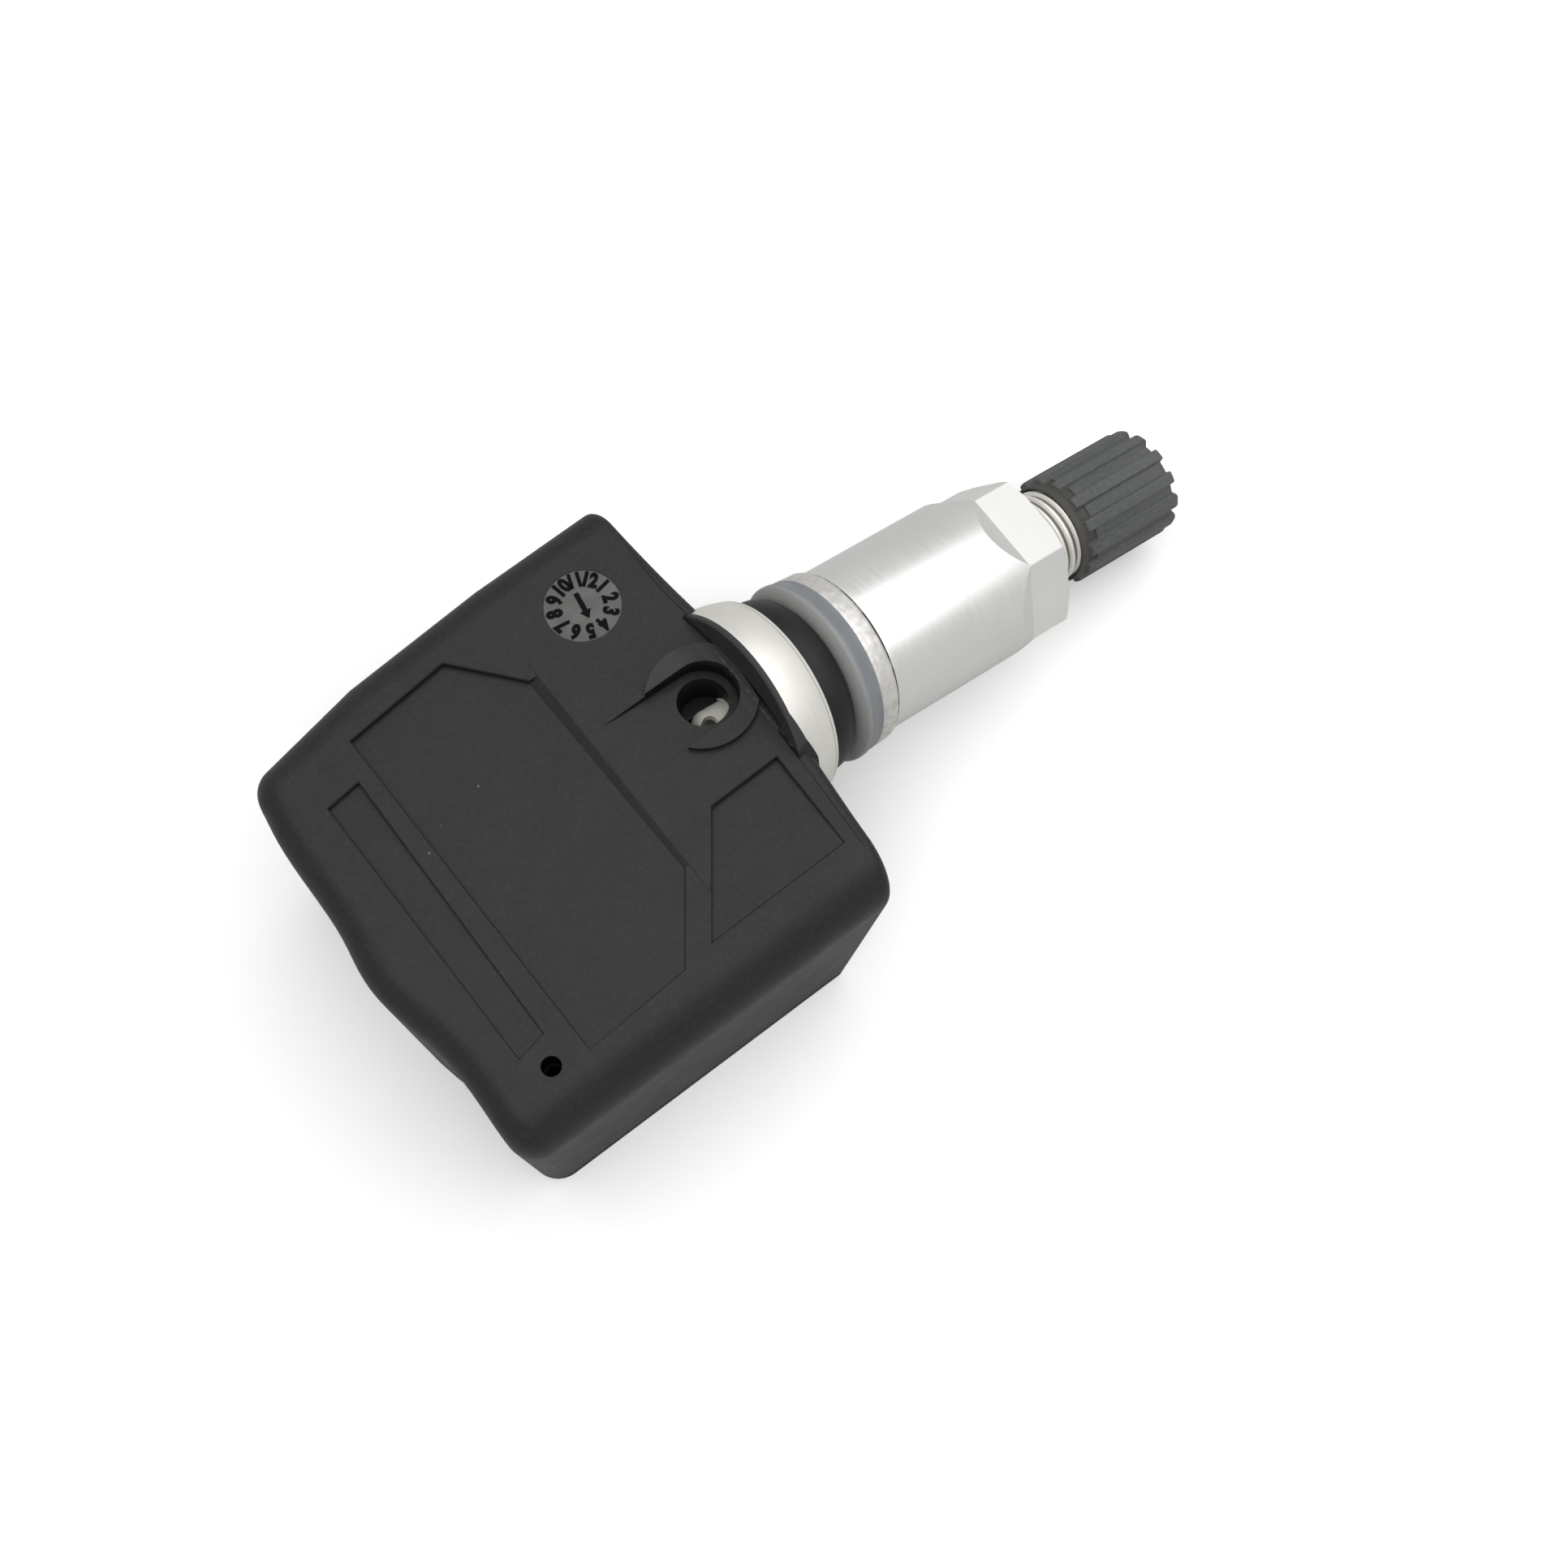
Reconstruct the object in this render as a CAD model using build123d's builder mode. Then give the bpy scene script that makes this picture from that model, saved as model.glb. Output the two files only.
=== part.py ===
"""A clamp-in tyre pressure sensor: a moulded case on a tilted valve.

Millimetres. +Z is up and the case stands on Z = 0. +X is the way the valve
points, seen from above, and the valve axis lies in the plane Y = 0.
"""
import math
import os

from build123d import *

os.makedirs("parts", exist_ok=True)

# Case
case_height = 20.2
case_side_near = 19.2
case_stations = (20.0, 5.0, -7.0, -21.0)
case_far_sides = (19.65, 19.45, 18.6, 15.9)
case_side_draft = 5.5
case_end_draft = 4.0
near_top_radius = 4.0
far_top_radius = 2.6
end_radius = 2.2
end_edge = (
    (-16.7, 24.0),
    (-17.3, 15.5),
    (-17.93, 11.7),
    (-18.13, 7.0),
    (-18.38, 2.3),
    (-18.8, -0.5),
    (-18.8, -2.7),
    (-18.2, -6.0),
    (-17.6, -9.25),
    (-17.5, -13.3),
    (-17.35, -24.0),
)
front_radius = 0.8
front_foot_x = 12.4
front_edge = (
    (16.45, 24.0),
    (16.5, 17.0),
    (16.8, 12.0),
    (17.3, 7.0),
    (17.72, 3.5),
    (17.8, 0.8),
    (17.7, -1.5),
    (17.2, -5.5),
    (16.75, -9.5),
    (16.35, -13.5),
    (16.25, -24.0),
)
wall = 1.85
roof = 2.2
cover_thickness = 0.8
cover_plug = 1.0
cover_fit = 0.15

# Side of the blocks that cut the case through
block = 80.0

# Valve axis: it passes through this point at the inner end of the nut
valve_tilt = 14.5
axis_x = 25.0
axis_z = 12.7

# Stations along the valve axis, counted from the inner end of the nut
metal_washer_thickness = 1.7
plastic_washer_thickness = 2.0
grommet_length = 3.1
flange_thickness = 2.9
nut_length = 18.8
hex_length = 3.9
cap_mouth_station = 22.2
cap_length = 10.7
cap_wall = 1.6
cap_seal_thickness = 1.6
cap_seal_gap = 0.1

# Radii about the valve axis
thread_radius = 3.875
bore_clearance = 0.05
ball_radius = 8.6
ball_offset = 3.08
ball_back = 0.52
flange_edge = 0.15
flange_seat_radius = 4.6
collar_wall = 0.45
collar_lip = 0.12
collar_edge = 0.12
run_out_lip = 0.15
run_out_start_y = -4.7
run_out_end_y = -7.6
run_out_reach = 1.15
run_out_mid_y = -6.45
run_out_mid_reach = 0.5
grommet_radius = 7.35
plastic_washer_radius = 7.6
metal_washer_radius = 7.35
nut_radius = 6.9
hex_across_flats = 12.0
hex_turn = 32.6
tail_radius = 1.7
tail_reach = 1.43
tail_dome = 0.9
shank_reach = 1.62
shank_radius = 3.6
seat_embed = 1.0
outlet_radius = 0.6
outlet_shift = 0.6
air_bore_radius = 1.2
cap_rib_radius = 4.6
cap_rib_count = 13
cap_groove_radius = 4.2
cap_groove_width = 1.15
cap_pocket_width = 1.0
cap_pocket_length = 0.95
cap_pocket_depth = 0.13
cap_ring_radius = 4.2
cap_ring_length = 0.75
cap_ring_edge = 0.05
cap_flute_reach = 0.25
cap_crown_round = 0.45
cap_notch_length = 0.5
cap_notch_depth = 0.4

# Top face features
air_hole_x = 13.03
air_hole_y = 0.98
air_hole_radius = 1.95
boss_radius = 4.2
boss_height = 0.5
trough_radius = 2.66
trough_end_x = 5.85
trough_depth = 0.85
crease_edge = (
    (15.8, 24.0),
    (15.82, 14.0),
    (15.92, 8.3),
    (16.34, 4.6),
    (16.44, 1.6),
    (16.22, -1.4),
    (15.8, -4.8),
    (15.5, -9.3),
    (15.28, -13.3),
    (15.0, -24.0),
)
crease_width = 0.14
crease_depth = 0.08
date_x = 10.47
date_y = 12.44
date_radius = 2.95
date_depth = 0.12
port_x = -11.9
port_inset = 4.5
port_radius = 0.75
port_dish_radius = 2.3
port_dish_depth = 0.16

# Recessed fields in the top face: corners, then the depths at the +Y and -Y ends
label_field = ((-9.3, 14.1), (-0.46, 15.03), (3.78, 9.91), (4.12, -8.77), (-0.4, -14.8), (-9.05, -15.4))
label_depths = (0.55, 0.16)
side_field = ((14.5, -6.05), (8.48, -6.2), (2.38, -14.38), (14.3, -14.2))
side_depths = (0.5, 0.14)
strip_field = ((-10.68, 11.04), (-13.53, 10.71), (-13.35, -12.9), (-11.0, -12.45))
strip_depths = (0.45, 0.14)
field_chamfer = 0.09

# The crest beside the label field and the ramp that falls from it into the field
ridge_x = 4.5
ridge_far_y = 11.1
ridge_near_y = -11.3
ridge_width = 0.6
ridge_height = 0.06
ridge_root = 0.2
ramp_overlap = 0.1
ramp_step = 0.02

# Hollow of the case, in plan at its mouth
hollow_end_x = -14.3
hollow_front_x = 9.4
hollow_stem_x = 6.5
hollow_stem_half = 8.0
hollow_far_y = 14.9
hollow_bend = (-2.0, 14.6)
hollow_end_y = 12.2
hollow_draft = 4.0
seam_height = 0.25
seam_land = 0.8
mould_clearance = 0.05
post_radius = 1.2
post_inset = 1.5
posts_far = ((-12.6, 9.6), (7.6, 13.0))
posts_near_x = (7.6, -3.0)

# Electronics
board_thickness = 1.0
board_top = 12.0
board_margin = 0.35
cell_radius = 10.0
cell_height = 3.2
cell_x = -3.9
cell_y = 2.5
tab_thickness = 0.2
tab_width = 5.0
chip_length = 5.0
chip_width = 4.0
chip_height = 1.8
seal_radius = 1.05
core_length = 9.0
core_side = 1.6
core_x = -3.0
core_y = 9.0
winding_length = 5.4
winding_side = 2.8
crystal_size = (3.2, 2.5, 0.9)
crystal_at = (-5.0, -3.0)
capacitor_size = (2.0, 1.25, 1.0)
capacitors = ((1.5, -2.0), (1.5, -5.0), (1.5, -8.0))

# Valve insert, stations along the valve axis
core_inset = 1.6
core_head_length = 5.0
core_neck_length = 1.0
core_barrel_length = 9.0
core_gasket_length = 1.4
core_gasket_groove = 1.7
core_ledge = 1.5
core_key_width = 2.6
core_key_length = 1.5
pin_proud = 0.5
pin_radius = 0.45
pin_stop_above_ledge = 6.0
pin_stop_thickness = 0.6
pin_stop_radius = 1.15
pin_gap = 0.4
seal_thickness = 0.8
cup_thickness = 1.4
cup_radius = 1.5
core_chamber_radius = 2.3
core_thread_radius = 2.6
spring_wire = 0.18
spring_radius = 0.85

tilt = math.radians(valve_tilt)
axis_dir = Vector(math.cos(tilt), 0, -math.sin(tilt))
axis_up = Vector(math.sin(tilt), 0, math.cos(tilt))
axis_point = Vector(axis_x, 0, axis_z)
stem_axis = Axis((axis_x, 0, axis_z), (axis_dir.X, axis_dir.Y, axis_dir.Z))
# In this plane local X is the station along the valve and local Y the radius
section = Plane(origin=axis_point, x_dir=axis_dir, z_dir=(0, -1, 0))


def across(station):
    """The plane square to the valve axis at a station: local X is +Y, local Y is up."""
    return Plane(origin=axis_point + axis_dir * station, x_dir=(0, 1, 0), z_dir=axis_dir)


washer_station = -metal_washer_thickness
plastic_station = washer_station - plastic_washer_thickness
grommet_station = plastic_station - grommet_length
flange_station = grommet_station - flange_thickness
flange_edge_station = grommet_station - flange_edge
ball_station = grommet_station - ball_offset
border_station = ball_station - ball_back
collar_station = border_station - collar_wall
collar_radius = ball_radius + collar_lip
bore_radius = thread_radius + bore_clearance
lean = math.tan(math.radians(case_side_draft))
cap_end_station = cap_mouth_station + cap_length
flute_station = cap_mouth_station + cap_ring_length
cap_floor_station = cap_end_station - cap_wall
stem_end_station = cap_floor_station - cap_seal_thickness - cap_seal_gap
core_end_station = stem_end_station - core_inset
core_collar_station = core_end_station - core_head_length
core_shoulder_station = core_collar_station - core_neck_length
core_foot_station = core_shoulder_station - core_barrel_length
core_groove_station = core_shoulder_station - core_gasket_groove
pin_end_station = core_end_station + pin_proud
pin_stop_station = core_foot_station + core_ledge + pin_stop_above_ledge
roof_z = case_height - roof
port_y = port_inset - case_side_near
hollow_near_y = wall + lean * case_height - case_side_near
hollow = (
    (hollow_end_x, hollow_near_y),
    (hollow_front_x, hollow_near_y),
    (hollow_front_x, -hollow_stem_half),
    (hollow_stem_x, -hollow_stem_half),
    (hollow_stem_x, hollow_stem_half),
    (hollow_front_x, hollow_stem_half),
    (hollow_front_x, hollow_far_y),
    hollow_bend,
    (hollow_end_x, hollow_end_y),
)
posts = posts_far + tuple((x, hollow_near_y + post_inset) for x in posts_near_x)

# Half angles of the rounded top edges, measured from the row's +Y
draft = math.radians(case_side_draft)
round_reach = (1 + math.sin(draft)) / math.cos(draft)
near_turn = math.radians(135) + draft / 2
far_turn = math.radians(45) - draft / 2

# The outside of the case, base cover included
with BuildPart() as shell:
    for x, far in zip(case_stations, case_far_sides):
        near_y = -case_side_near + near_top_radius * round_reach
        near_z = case_height - near_top_radius
        far_y = far - far_top_radius * round_reach
        far_z = case_height - far_top_radius
        near_foot = (-case_side_near + lean * case_height, 0)
        far_foot = (far - lean * case_height, 0)
        near_wall = (
            near_y - near_top_radius * math.cos(draft),
            near_z - near_top_radius * math.sin(draft),
        )
        near_mid = (
            near_y + near_top_radius * math.cos(near_turn),
            near_z + near_top_radius * math.sin(near_turn),
        )
        far_wall = (
            far_y + far_top_radius * math.cos(draft),
            far_z - far_top_radius * math.sin(draft),
        )
        far_mid = (
            far_y + far_top_radius * math.cos(far_turn),
            far_z + far_top_radius * math.sin(far_turn),
        )
        with BuildSketch(Plane.YZ.offset(x)):
            with BuildLine():
                Line(near_foot, far_foot)
                Line(far_foot, far_wall)
                ThreePointArc(far_wall, far_mid, (far_y, case_height))
                Line((far_y, case_height), (near_y, case_height))
                ThreePointArc((near_y, case_height), near_mid, near_wall)
                Line(near_wall, near_foot)
            make_face()
    loft(ruled=True)
    # The end away from the valve is slightly wavy in plan
    with BuildSketch(Plane.XY.offset(case_height)) as end_cut:
        with BuildLine():
            wave = Spline(*end_edge)
            Polyline(wave @ 1, (-block / 2, end_edge[-1][1]), (-block / 2, end_edge[0][1]), wave @ 0)
        make_face()
    extrude(
        amount=case_height * 1.3,
        dir=(math.tan(math.radians(case_end_draft)), 0, -1),
        mode=Mode.SUBTRACT,
    )
    end_face = shell.faces().sort_by(Axis.X)[0]
    end_edges = [e for e in end_face.edges() if e.center().Z > 0.5]
    fillet(end_edges, radius=end_radius)
    # The valve side leans like the valve: straight at the foot, bulging at the top
    with BuildSketch(Plane.XY):
        with BuildLine():
            foot = Spline(*[(front_foot_x, y) for x, y in front_edge])
            Polyline(foot @ 1, (block / 2, front_edge[-1][1]), (block / 2, front_edge[0][1]), foot @ 0)
        make_face()
    with BuildSketch(Plane.XY.offset(case_height)):
        with BuildLine():
            brow = Spline(*front_edge)
            Polyline(brow @ 1, (block / 2, front_edge[-1][1]), (block / 2, front_edge[0][1]), brow @ 0)
        make_face()
    loft(ruled=True, mode=Mode.SUBTRACT)

    front_face = shell.faces().sort_by(Axis.X)[-1]
    front_edges = [e for e in front_face.edges() if e.center().Z > case_height - 0.2]
    fillet(front_edges, radius=front_radius)


# The collar that holds the ball of the stem, standing on the top face
with BuildPart() as collar:
    with BuildSketch(section):
        with BuildLine():
            Polyline(
                (flange_station, flange_seat_radius),
                (border_station, collar_radius),
                (collar_station + collar_edge, collar_radius),
                (collar_station, collar_radius - collar_edge),
                (flange_station - collar_wall, flange_seat_radius),
                close=True,
            )
        make_face()
    revolve(axis=stem_axis)
    with Locations((0, 0, roof_z + block / 2)):
        Box(2 * block, block, block, mode=Mode.INTERSECT)

# The collar runs out forwards on the near side, where it meets the front edge
with BuildPart() as run_out:
    with BuildSketch(section):
        with BuildLine():
            Polyline(
                (collar_station, flange_seat_radius),
                (collar_station, ball_radius + run_out_lip),
                (border_station + run_out_reach, ball_radius + run_out_lip),
                (border_station + run_out_reach, flange_seat_radius),
                close=True,
            )
        make_face()
    revolve(axis=stem_axis)
    # In this plane local X is the station and local Y is +Y
    with BuildSketch(Plane(origin=axis_point, x_dir=axis_dir, z_dir=axis_up)):
        with BuildLine():
            Polyline(
                (collar_station, run_out_start_y),
                (border_station, run_out_start_y),
                (border_station + run_out_mid_reach, run_out_mid_y),
                (border_station + run_out_reach, run_out_end_y),
                (border_station + run_out_reach, -2 * ball_radius),
                (collar_station, -2 * ball_radius),
                close=True,
            )
        make_face()
    extrude(amount=2 * ball_radius, mode=Mode.INTERSECT)
    with Locations((0, 0, roof_z + block / 2)):
        Box(2 * block, block, block, mode=Mode.INTERSECT)


def on_ball(station):
    """The radius of the ball at a station."""
    return math.sqrt(ball_radius**2 - (station - ball_station) ** 2)


# Planes for the sloping floors of the recessed fields
def sloped_floor(corners, depths):
    """The floor of a field: its normal leans in Y so that both end depths are met."""
    y_high = max(c[1] for c in corners)
    y_low = min(c[1] for c in corners)
    rise = math.atan2(depths[0] - depths[1], y_high - y_low)
    return Plane(
        origin=(0, y_low, case_height - depths[1]),
        x_dir=(1, 0, 0),
        z_dir=(0, math.sin(rise), math.cos(rise)),
    ), y_low


board_bottom = board_top - board_thickness
cell_bottom = cover_thickness + cover_plug + tab_thickness
cell_top = cell_bottom + cell_height
pin_foot_station = core_foot_station - seal_thickness - cup_thickness
tail_end_station = (air_hole_x - tail_reach - axis_x) / math.cos(tilt)
tail_step_station = (air_hole_x + shank_reach - axis_x) / math.cos(tilt)
seat_root_station = tail_step_station - seat_embed

with BuildPart() as housing:
    add(shell.part)
    # The boss round the air hole, cut off along the crease of the front edge
    with BuildSketch(Plane.XY.offset(roof_z)):
        with Locations((air_hole_x, air_hole_y)):
            Circle(boss_radius)
        with BuildLine():
            crease = Spline(*crease_edge)
            Polyline(crease @ 1, (block / 2, crease_edge[-1][1]), (block / 2, crease_edge[0][1]), crease @ 0)
        make_face(mode=Mode.SUBTRACT)
    extrude(amount=roof + boss_height)
    # The crease itself, a fine groove from corner to corner
    with BuildSketch(Plane.XY.offset(case_height - crease_depth)):
        with BuildLine():
            inner_line = Spline(*crease_edge)
            outer_line = Spline(*[(x + crease_width, y) for x, y in crease_edge])
            Line(inner_line @ 0, outer_line @ 0)
            Line(inner_line @ 1, outer_line @ 1)
        make_face()
    extrude(amount=crease_depth + boss_height, mode=Mode.SUBTRACT)
    # The seat of the flange, and the socket of its ball under the collar
    with BuildSketch(across(seat_root_station)):
        Circle(flange_seat_radius)
    extrude(amount=flange_station - seat_root_station)
    add(collar.part)
    add(run_out.part)
    with BuildSketch(section):
        with BuildLine():
            Polyline(
                (flange_station, 0),
                (flange_station, flange_seat_radius),
                (border_station, on_ball(border_station)),
                (border_station, ball_radius + mould_clearance),
                (grommet_station, ball_radius + mould_clearance),
                (grommet_station, 0),
                close=True,
            )
        make_face()
    revolve(axis=stem_axis, mode=Mode.SUBTRACT)
    # The hollow with its roof posts
    with BuildSketch(Plane.XY.offset(cover_thickness)):
        with BuildLine():
            Polyline(*hollow, close=True)
        make_face()
    extrude(amount=roof_z - cover_thickness, taper=-hollow_draft, mode=Mode.SUBTRACT)
    with BuildSketch(Plane.XY.offset(board_top)):
        with Locations(*posts):
            Circle(post_radius)
    extrude(amount=roof_z - board_top + 0.5)
    # The underside stops at the cover, with an open seam outside
    with Locations((0, 0, cover_thickness / 2)):
        Box(block, block, cover_thickness, mode=Mode.SUBTRACT)
    with BuildSketch(Plane.XY.offset(cover_thickness)):
        Rectangle(block, block)
        with BuildLine():
            Polyline(*hollow, close=True)
        make_face(mode=Mode.SUBTRACT)
        with BuildLine():
            hollow_line = Polyline(*hollow, close=True)
            offset(hollow_line, amount=seam_land, mode=Mode.REPLACE)
        make_face(mode=Mode.SUBTRACT)
    extrude(amount=seam_height, mode=Mode.SUBTRACT)
    # The trough that runs up from the air hole and ends in the top face
    trough_run = air_hole_x - trough_end_x
    trough_length = math.hypot(trough_run, trough_depth)
    trough_floor = Plane(
        origin=(trough_end_x, air_hole_y, case_height),
        x_dir=(trough_run, 0, -trough_depth),
        z_dir=(trough_depth, 0, trough_run),
    )
    with BuildSketch(trough_floor):
        with Locations((trough_length / 2, 0)):
            Rectangle(trough_length, 2 * trough_radius)
        with Locations((trough_length, 0)):
            Circle(trough_radius)
    extrude(amount=4.0, mode=Mode.SUBTRACT)
    # The air hole and the bed of the stem
    air_hole_depth = case_height - axis_z - (axis_x - air_hole_x) * math.tan(tilt)
    with BuildSketch(Plane.XY.offset(case_height + boss_height)):
        with Locations((air_hole_x, air_hole_y)):
            Circle(air_hole_radius)
    extrude(amount=-(air_hole_depth + boss_height), mode=Mode.SUBTRACT)
    with BuildSketch(section):
        with BuildLine():
            Polyline(
                (tail_end_station - mould_clearance, 0),
                (tail_end_station - mould_clearance, tail_radius + mould_clearance),
                (tail_step_station, tail_radius + mould_clearance),
                (tail_step_station, shank_radius + mould_clearance),
                (flange_station + 0.5, shank_radius + mould_clearance),
                (flange_station + 0.5, 0),
                close=True,
            )
        make_face()
    revolve(axis=stem_axis, mode=Mode.SUBTRACT)
    # The low crest along the label field, falling to the front
    with BuildSketch(Plane.XZ.offset(-ridge_far_y)):
        with BuildLine():
            Polyline(
                (ridge_x, case_height - ridge_root),
                (ridge_x, case_height + ridge_height),
                (ridge_x + ridge_width, case_height),
                (ridge_x + ridge_width, case_height - ridge_root),
                close=True,
            )
        make_face()
    extrude(amount=ridge_far_y - ridge_near_y)
    # The recessed fields, with a fine chamfer round each
    for corners, depths in (
        (label_field, label_depths),
        (side_field, side_depths),
        (strip_field, strip_depths),
    ):
        floor, y_low = sloped_floor(corners, depths)
        with BuildSketch(floor):
            with BuildLine():
                Polyline(*[(c[0], c[1] - y_low) for c in corners], close=True)
            make_face()
        extrude(amount=2.0, mode=Mode.SUBTRACT)
        with BuildSketch(Plane.XY.offset(case_height - field_chamfer)):
            with BuildLine():
                Polyline(*corners, close=True)
            make_face()
        extrude(amount=2 * field_chamfer, taper=-45, mode=Mode.SUBTRACT)
    # The ramp between the crest and the floor of the label field
    label_run = label_field[1][1] - label_field[-1][1]
    for wall_x, y in label_field[2:4]:
        sunk = label_depths[0] - (label_depths[0] - label_depths[1]) * (label_field[1][1] - y) / label_run
        with BuildSketch(Plane.XZ.offset(-y)):
            with BuildLine():
                Polyline(
                    (wall_x - ramp_overlap, case_height - sunk + ramp_step),
                    (wall_x - ramp_overlap, case_height + 2 * ridge_height),
                    (ridge_x, case_height + 2 * ridge_height),
                    (ridge_x, case_height + ridge_height / 2),
                    close=True,
                )
            make_face()
    loft(ruled=True, mode=Mode.SUBTRACT)
    # Date wheel, pressure port and its dish
    with BuildSketch(Plane.XY.offset(case_height)):
        with Locations((date_x, date_y)):
            Circle(date_radius)
    extrude(amount=-date_depth, mode=Mode.SUBTRACT)
    with BuildSketch(Plane.XZ.offset(-port_y)):
        with BuildLine():
            dish = Spline(
                (port_x, case_height - port_dish_depth),
                (port_x + port_dish_radius, case_height),
                tangents=((1, 0), (1, 0.05)),
            )
            Polyline(
                dish @ 1,
                (port_x + port_dish_radius, case_height + port_dish_depth),
                (port_x, case_height + port_dish_depth),
                dish @ 0,
            )
        make_face()
    revolve(axis=Axis((port_x, port_y, 0), (0, 0, 1)), mode=Mode.SUBTRACT)
    with BuildSketch(Plane.XY.offset(case_height)):
        with Locations((port_x, port_y)):
            Circle(port_radius)
    extrude(amount=-roof - 0.5, mode=Mode.SUBTRACT)
housing.part.label = "housing"
export_step(housing.part, "parts/housing.step")

with BuildPart() as base_cover:
    add(shell.part)
    with Locations((0, 0, cover_thickness + block / 2)):
        Box(block, block, block, mode=Mode.SUBTRACT)
    with BuildSketch(Plane.XY.offset(cover_thickness)):
        with BuildLine():
            plug_line = Polyline(*hollow, close=True)
            offset(plug_line, amount=-cover_fit, mode=Mode.REPLACE)
        make_face()
    extrude(amount=cover_plug)
base_cover.part.label = "base_cover"
export_step(base_cover.part, "parts/base_cover.step")

with BuildPart() as circuit_board:
    with BuildSketch(Plane.XY.offset(board_bottom)):
        with BuildLine():
            board_line = Polyline(*hollow, close=True)
            grow = (board_bottom - cover_thickness) * math.tan(math.radians(hollow_draft))
            offset(board_line, amount=grow - board_margin, kind=Kind.INTERSECTION, mode=Mode.REPLACE)
        make_face()
    extrude(amount=board_thickness)
circuit_board.part.label = "circuit_board"
export_step(circuit_board.part, "parts/circuit_board.step")

with BuildPart() as battery_cell:
    with BuildSketch(Plane.XY.offset(cell_bottom)):
        with Locations((cell_x, cell_y)):
            Circle(cell_radius - 0.9)
    extrude(amount=cell_height)
    with BuildSketch(Plane.XY.offset(cell_bottom + 0.25)):
        with Locations((cell_x, cell_y)):
            Circle(cell_radius)
    extrude(amount=cell_height - 0.25)
    rim = battery_cell.edges().filter_by(GeomType.CIRCLE).group_by(Axis.Z)[-1]
    fillet(rim, radius=0.4)
battery_cell.part.label = "battery_cell"
export_step(battery_cell.part, "parts/battery_cell.step")

tab_far_y = cell_y + cell_radius + 0.5
with BuildPart() as tab_positive:
    with BuildSketch(Plane.YZ.offset(cell_x - tab_width / 2)):
        with BuildLine():
            Polyline(
                (cell_y + 2.0, cell_top),
                (tab_far_y + tab_thickness, cell_top),
                (tab_far_y + tab_thickness, board_bottom),
                (tab_far_y, board_bottom),
                (tab_far_y, cell_top + tab_thickness),
                (cell_y + 2.0, cell_top + tab_thickness),
                close=True,
            )
        make_face()
    extrude(amount=tab_width)
tab_positive.part.label = "tab_positive"
export_step(tab_positive.part, "parts/tab_positive.step")

tab_near_y = cell_y - cell_radius - 0.5
with BuildPart() as tab_negative:
    with BuildSketch(Plane.YZ.offset(cell_x - tab_width / 2)):
        with BuildLine():
            Polyline(
                (cell_y + 2.0, cell_bottom - tab_thickness),
                (tab_near_y - tab_thickness, cell_bottom - tab_thickness),
                (tab_near_y - tab_thickness, board_bottom),
                (tab_near_y, board_bottom),
                (tab_near_y, cell_bottom),
                (cell_y + 2.0, cell_bottom),
                close=True,
            )
        make_face()
    extrude(amount=tab_width)
tab_negative.part.label = "tab_negative"
export_step(tab_negative.part, "parts/tab_negative.step")

chip_y = port_y + chip_width / 2 - seal_radius - 0.05
with BuildPart() as sensor_chip:
    with BuildSketch(Plane.XY.offset(board_top)):
        with Locations((port_x, chip_y)):
            Rectangle(chip_length, chip_width)
    extrude(amount=chip_height)
    with BuildSketch(Plane.XY.offset(board_top + chip_height)):
        with Locations((port_x, port_y)):
            Circle(port_radius / 2)
    extrude(amount=-chip_height / 2, mode=Mode.SUBTRACT)
sensor_chip.part.label = "sensor_chip"
export_step(sensor_chip.part, "parts/sensor_chip.step")

with BuildPart() as port_seal:
    with BuildSketch(Plane.XY.offset(board_top + chip_height)):
        with Locations((port_x, port_y)):
            Circle(seal_radius)
            Circle(port_radius * 0.75, mode=Mode.SUBTRACT)
    extrude(amount=roof_z - board_top - chip_height)
port_seal.part.label = "port_seal"
export_step(port_seal.part, "parts/port_seal.step")

core_z = board_top + winding_side / 2
with BuildPart() as ferrite_core:
    with Locations((core_x, core_y, core_z)):
        Box(core_length, core_side, core_side)
    with Locations(
        (core_x - (core_length - core_side) / 2, core_y, core_z),
        (core_x + (core_length - core_side) / 2, core_y, core_z),
    ):
        Box(core_side, winding_side, winding_side)
ferrite_core.part.label = "ferrite_core"
export_step(ferrite_core.part, "parts/ferrite_core.step")

with BuildPart() as coil_winding:
    with Locations((core_x, core_y, core_z)):
        Box(winding_length, winding_side - 0.2, winding_side - 0.2)
    along_core = coil_winding.edges().filter_by(Axis.X)
    fillet(along_core, radius=0.4)
    with Locations((core_x, core_y, core_z)):
        Box(winding_length, core_side, core_side, mode=Mode.SUBTRACT)
coil_winding.part.label = "coil_winding"
export_step(coil_winding.part, "parts/coil_winding.step")

with BuildPart() as crystal:
    with Locations((crystal_at[0], crystal_at[1], board_top + crystal_size[2] / 2)):
        Box(*crystal_size)
    upright = crystal.edges().filter_by(Axis.Z)
    fillet(upright, radius=0.3)
crystal.part.label = "crystal"
export_step(crystal.part, "parts/crystal.step")

for number, place in enumerate(capacitors, start=1):
    with BuildPart() as capacitor:
        with Locations((place[0], place[1], board_top + capacitor_size[2] / 2)):
            Box(*capacitor_size)
    capacitor.part.label = f"capacitor_{number}"
    export_step(capacitor.part, f"parts/capacitor_{number}.step")

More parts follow.
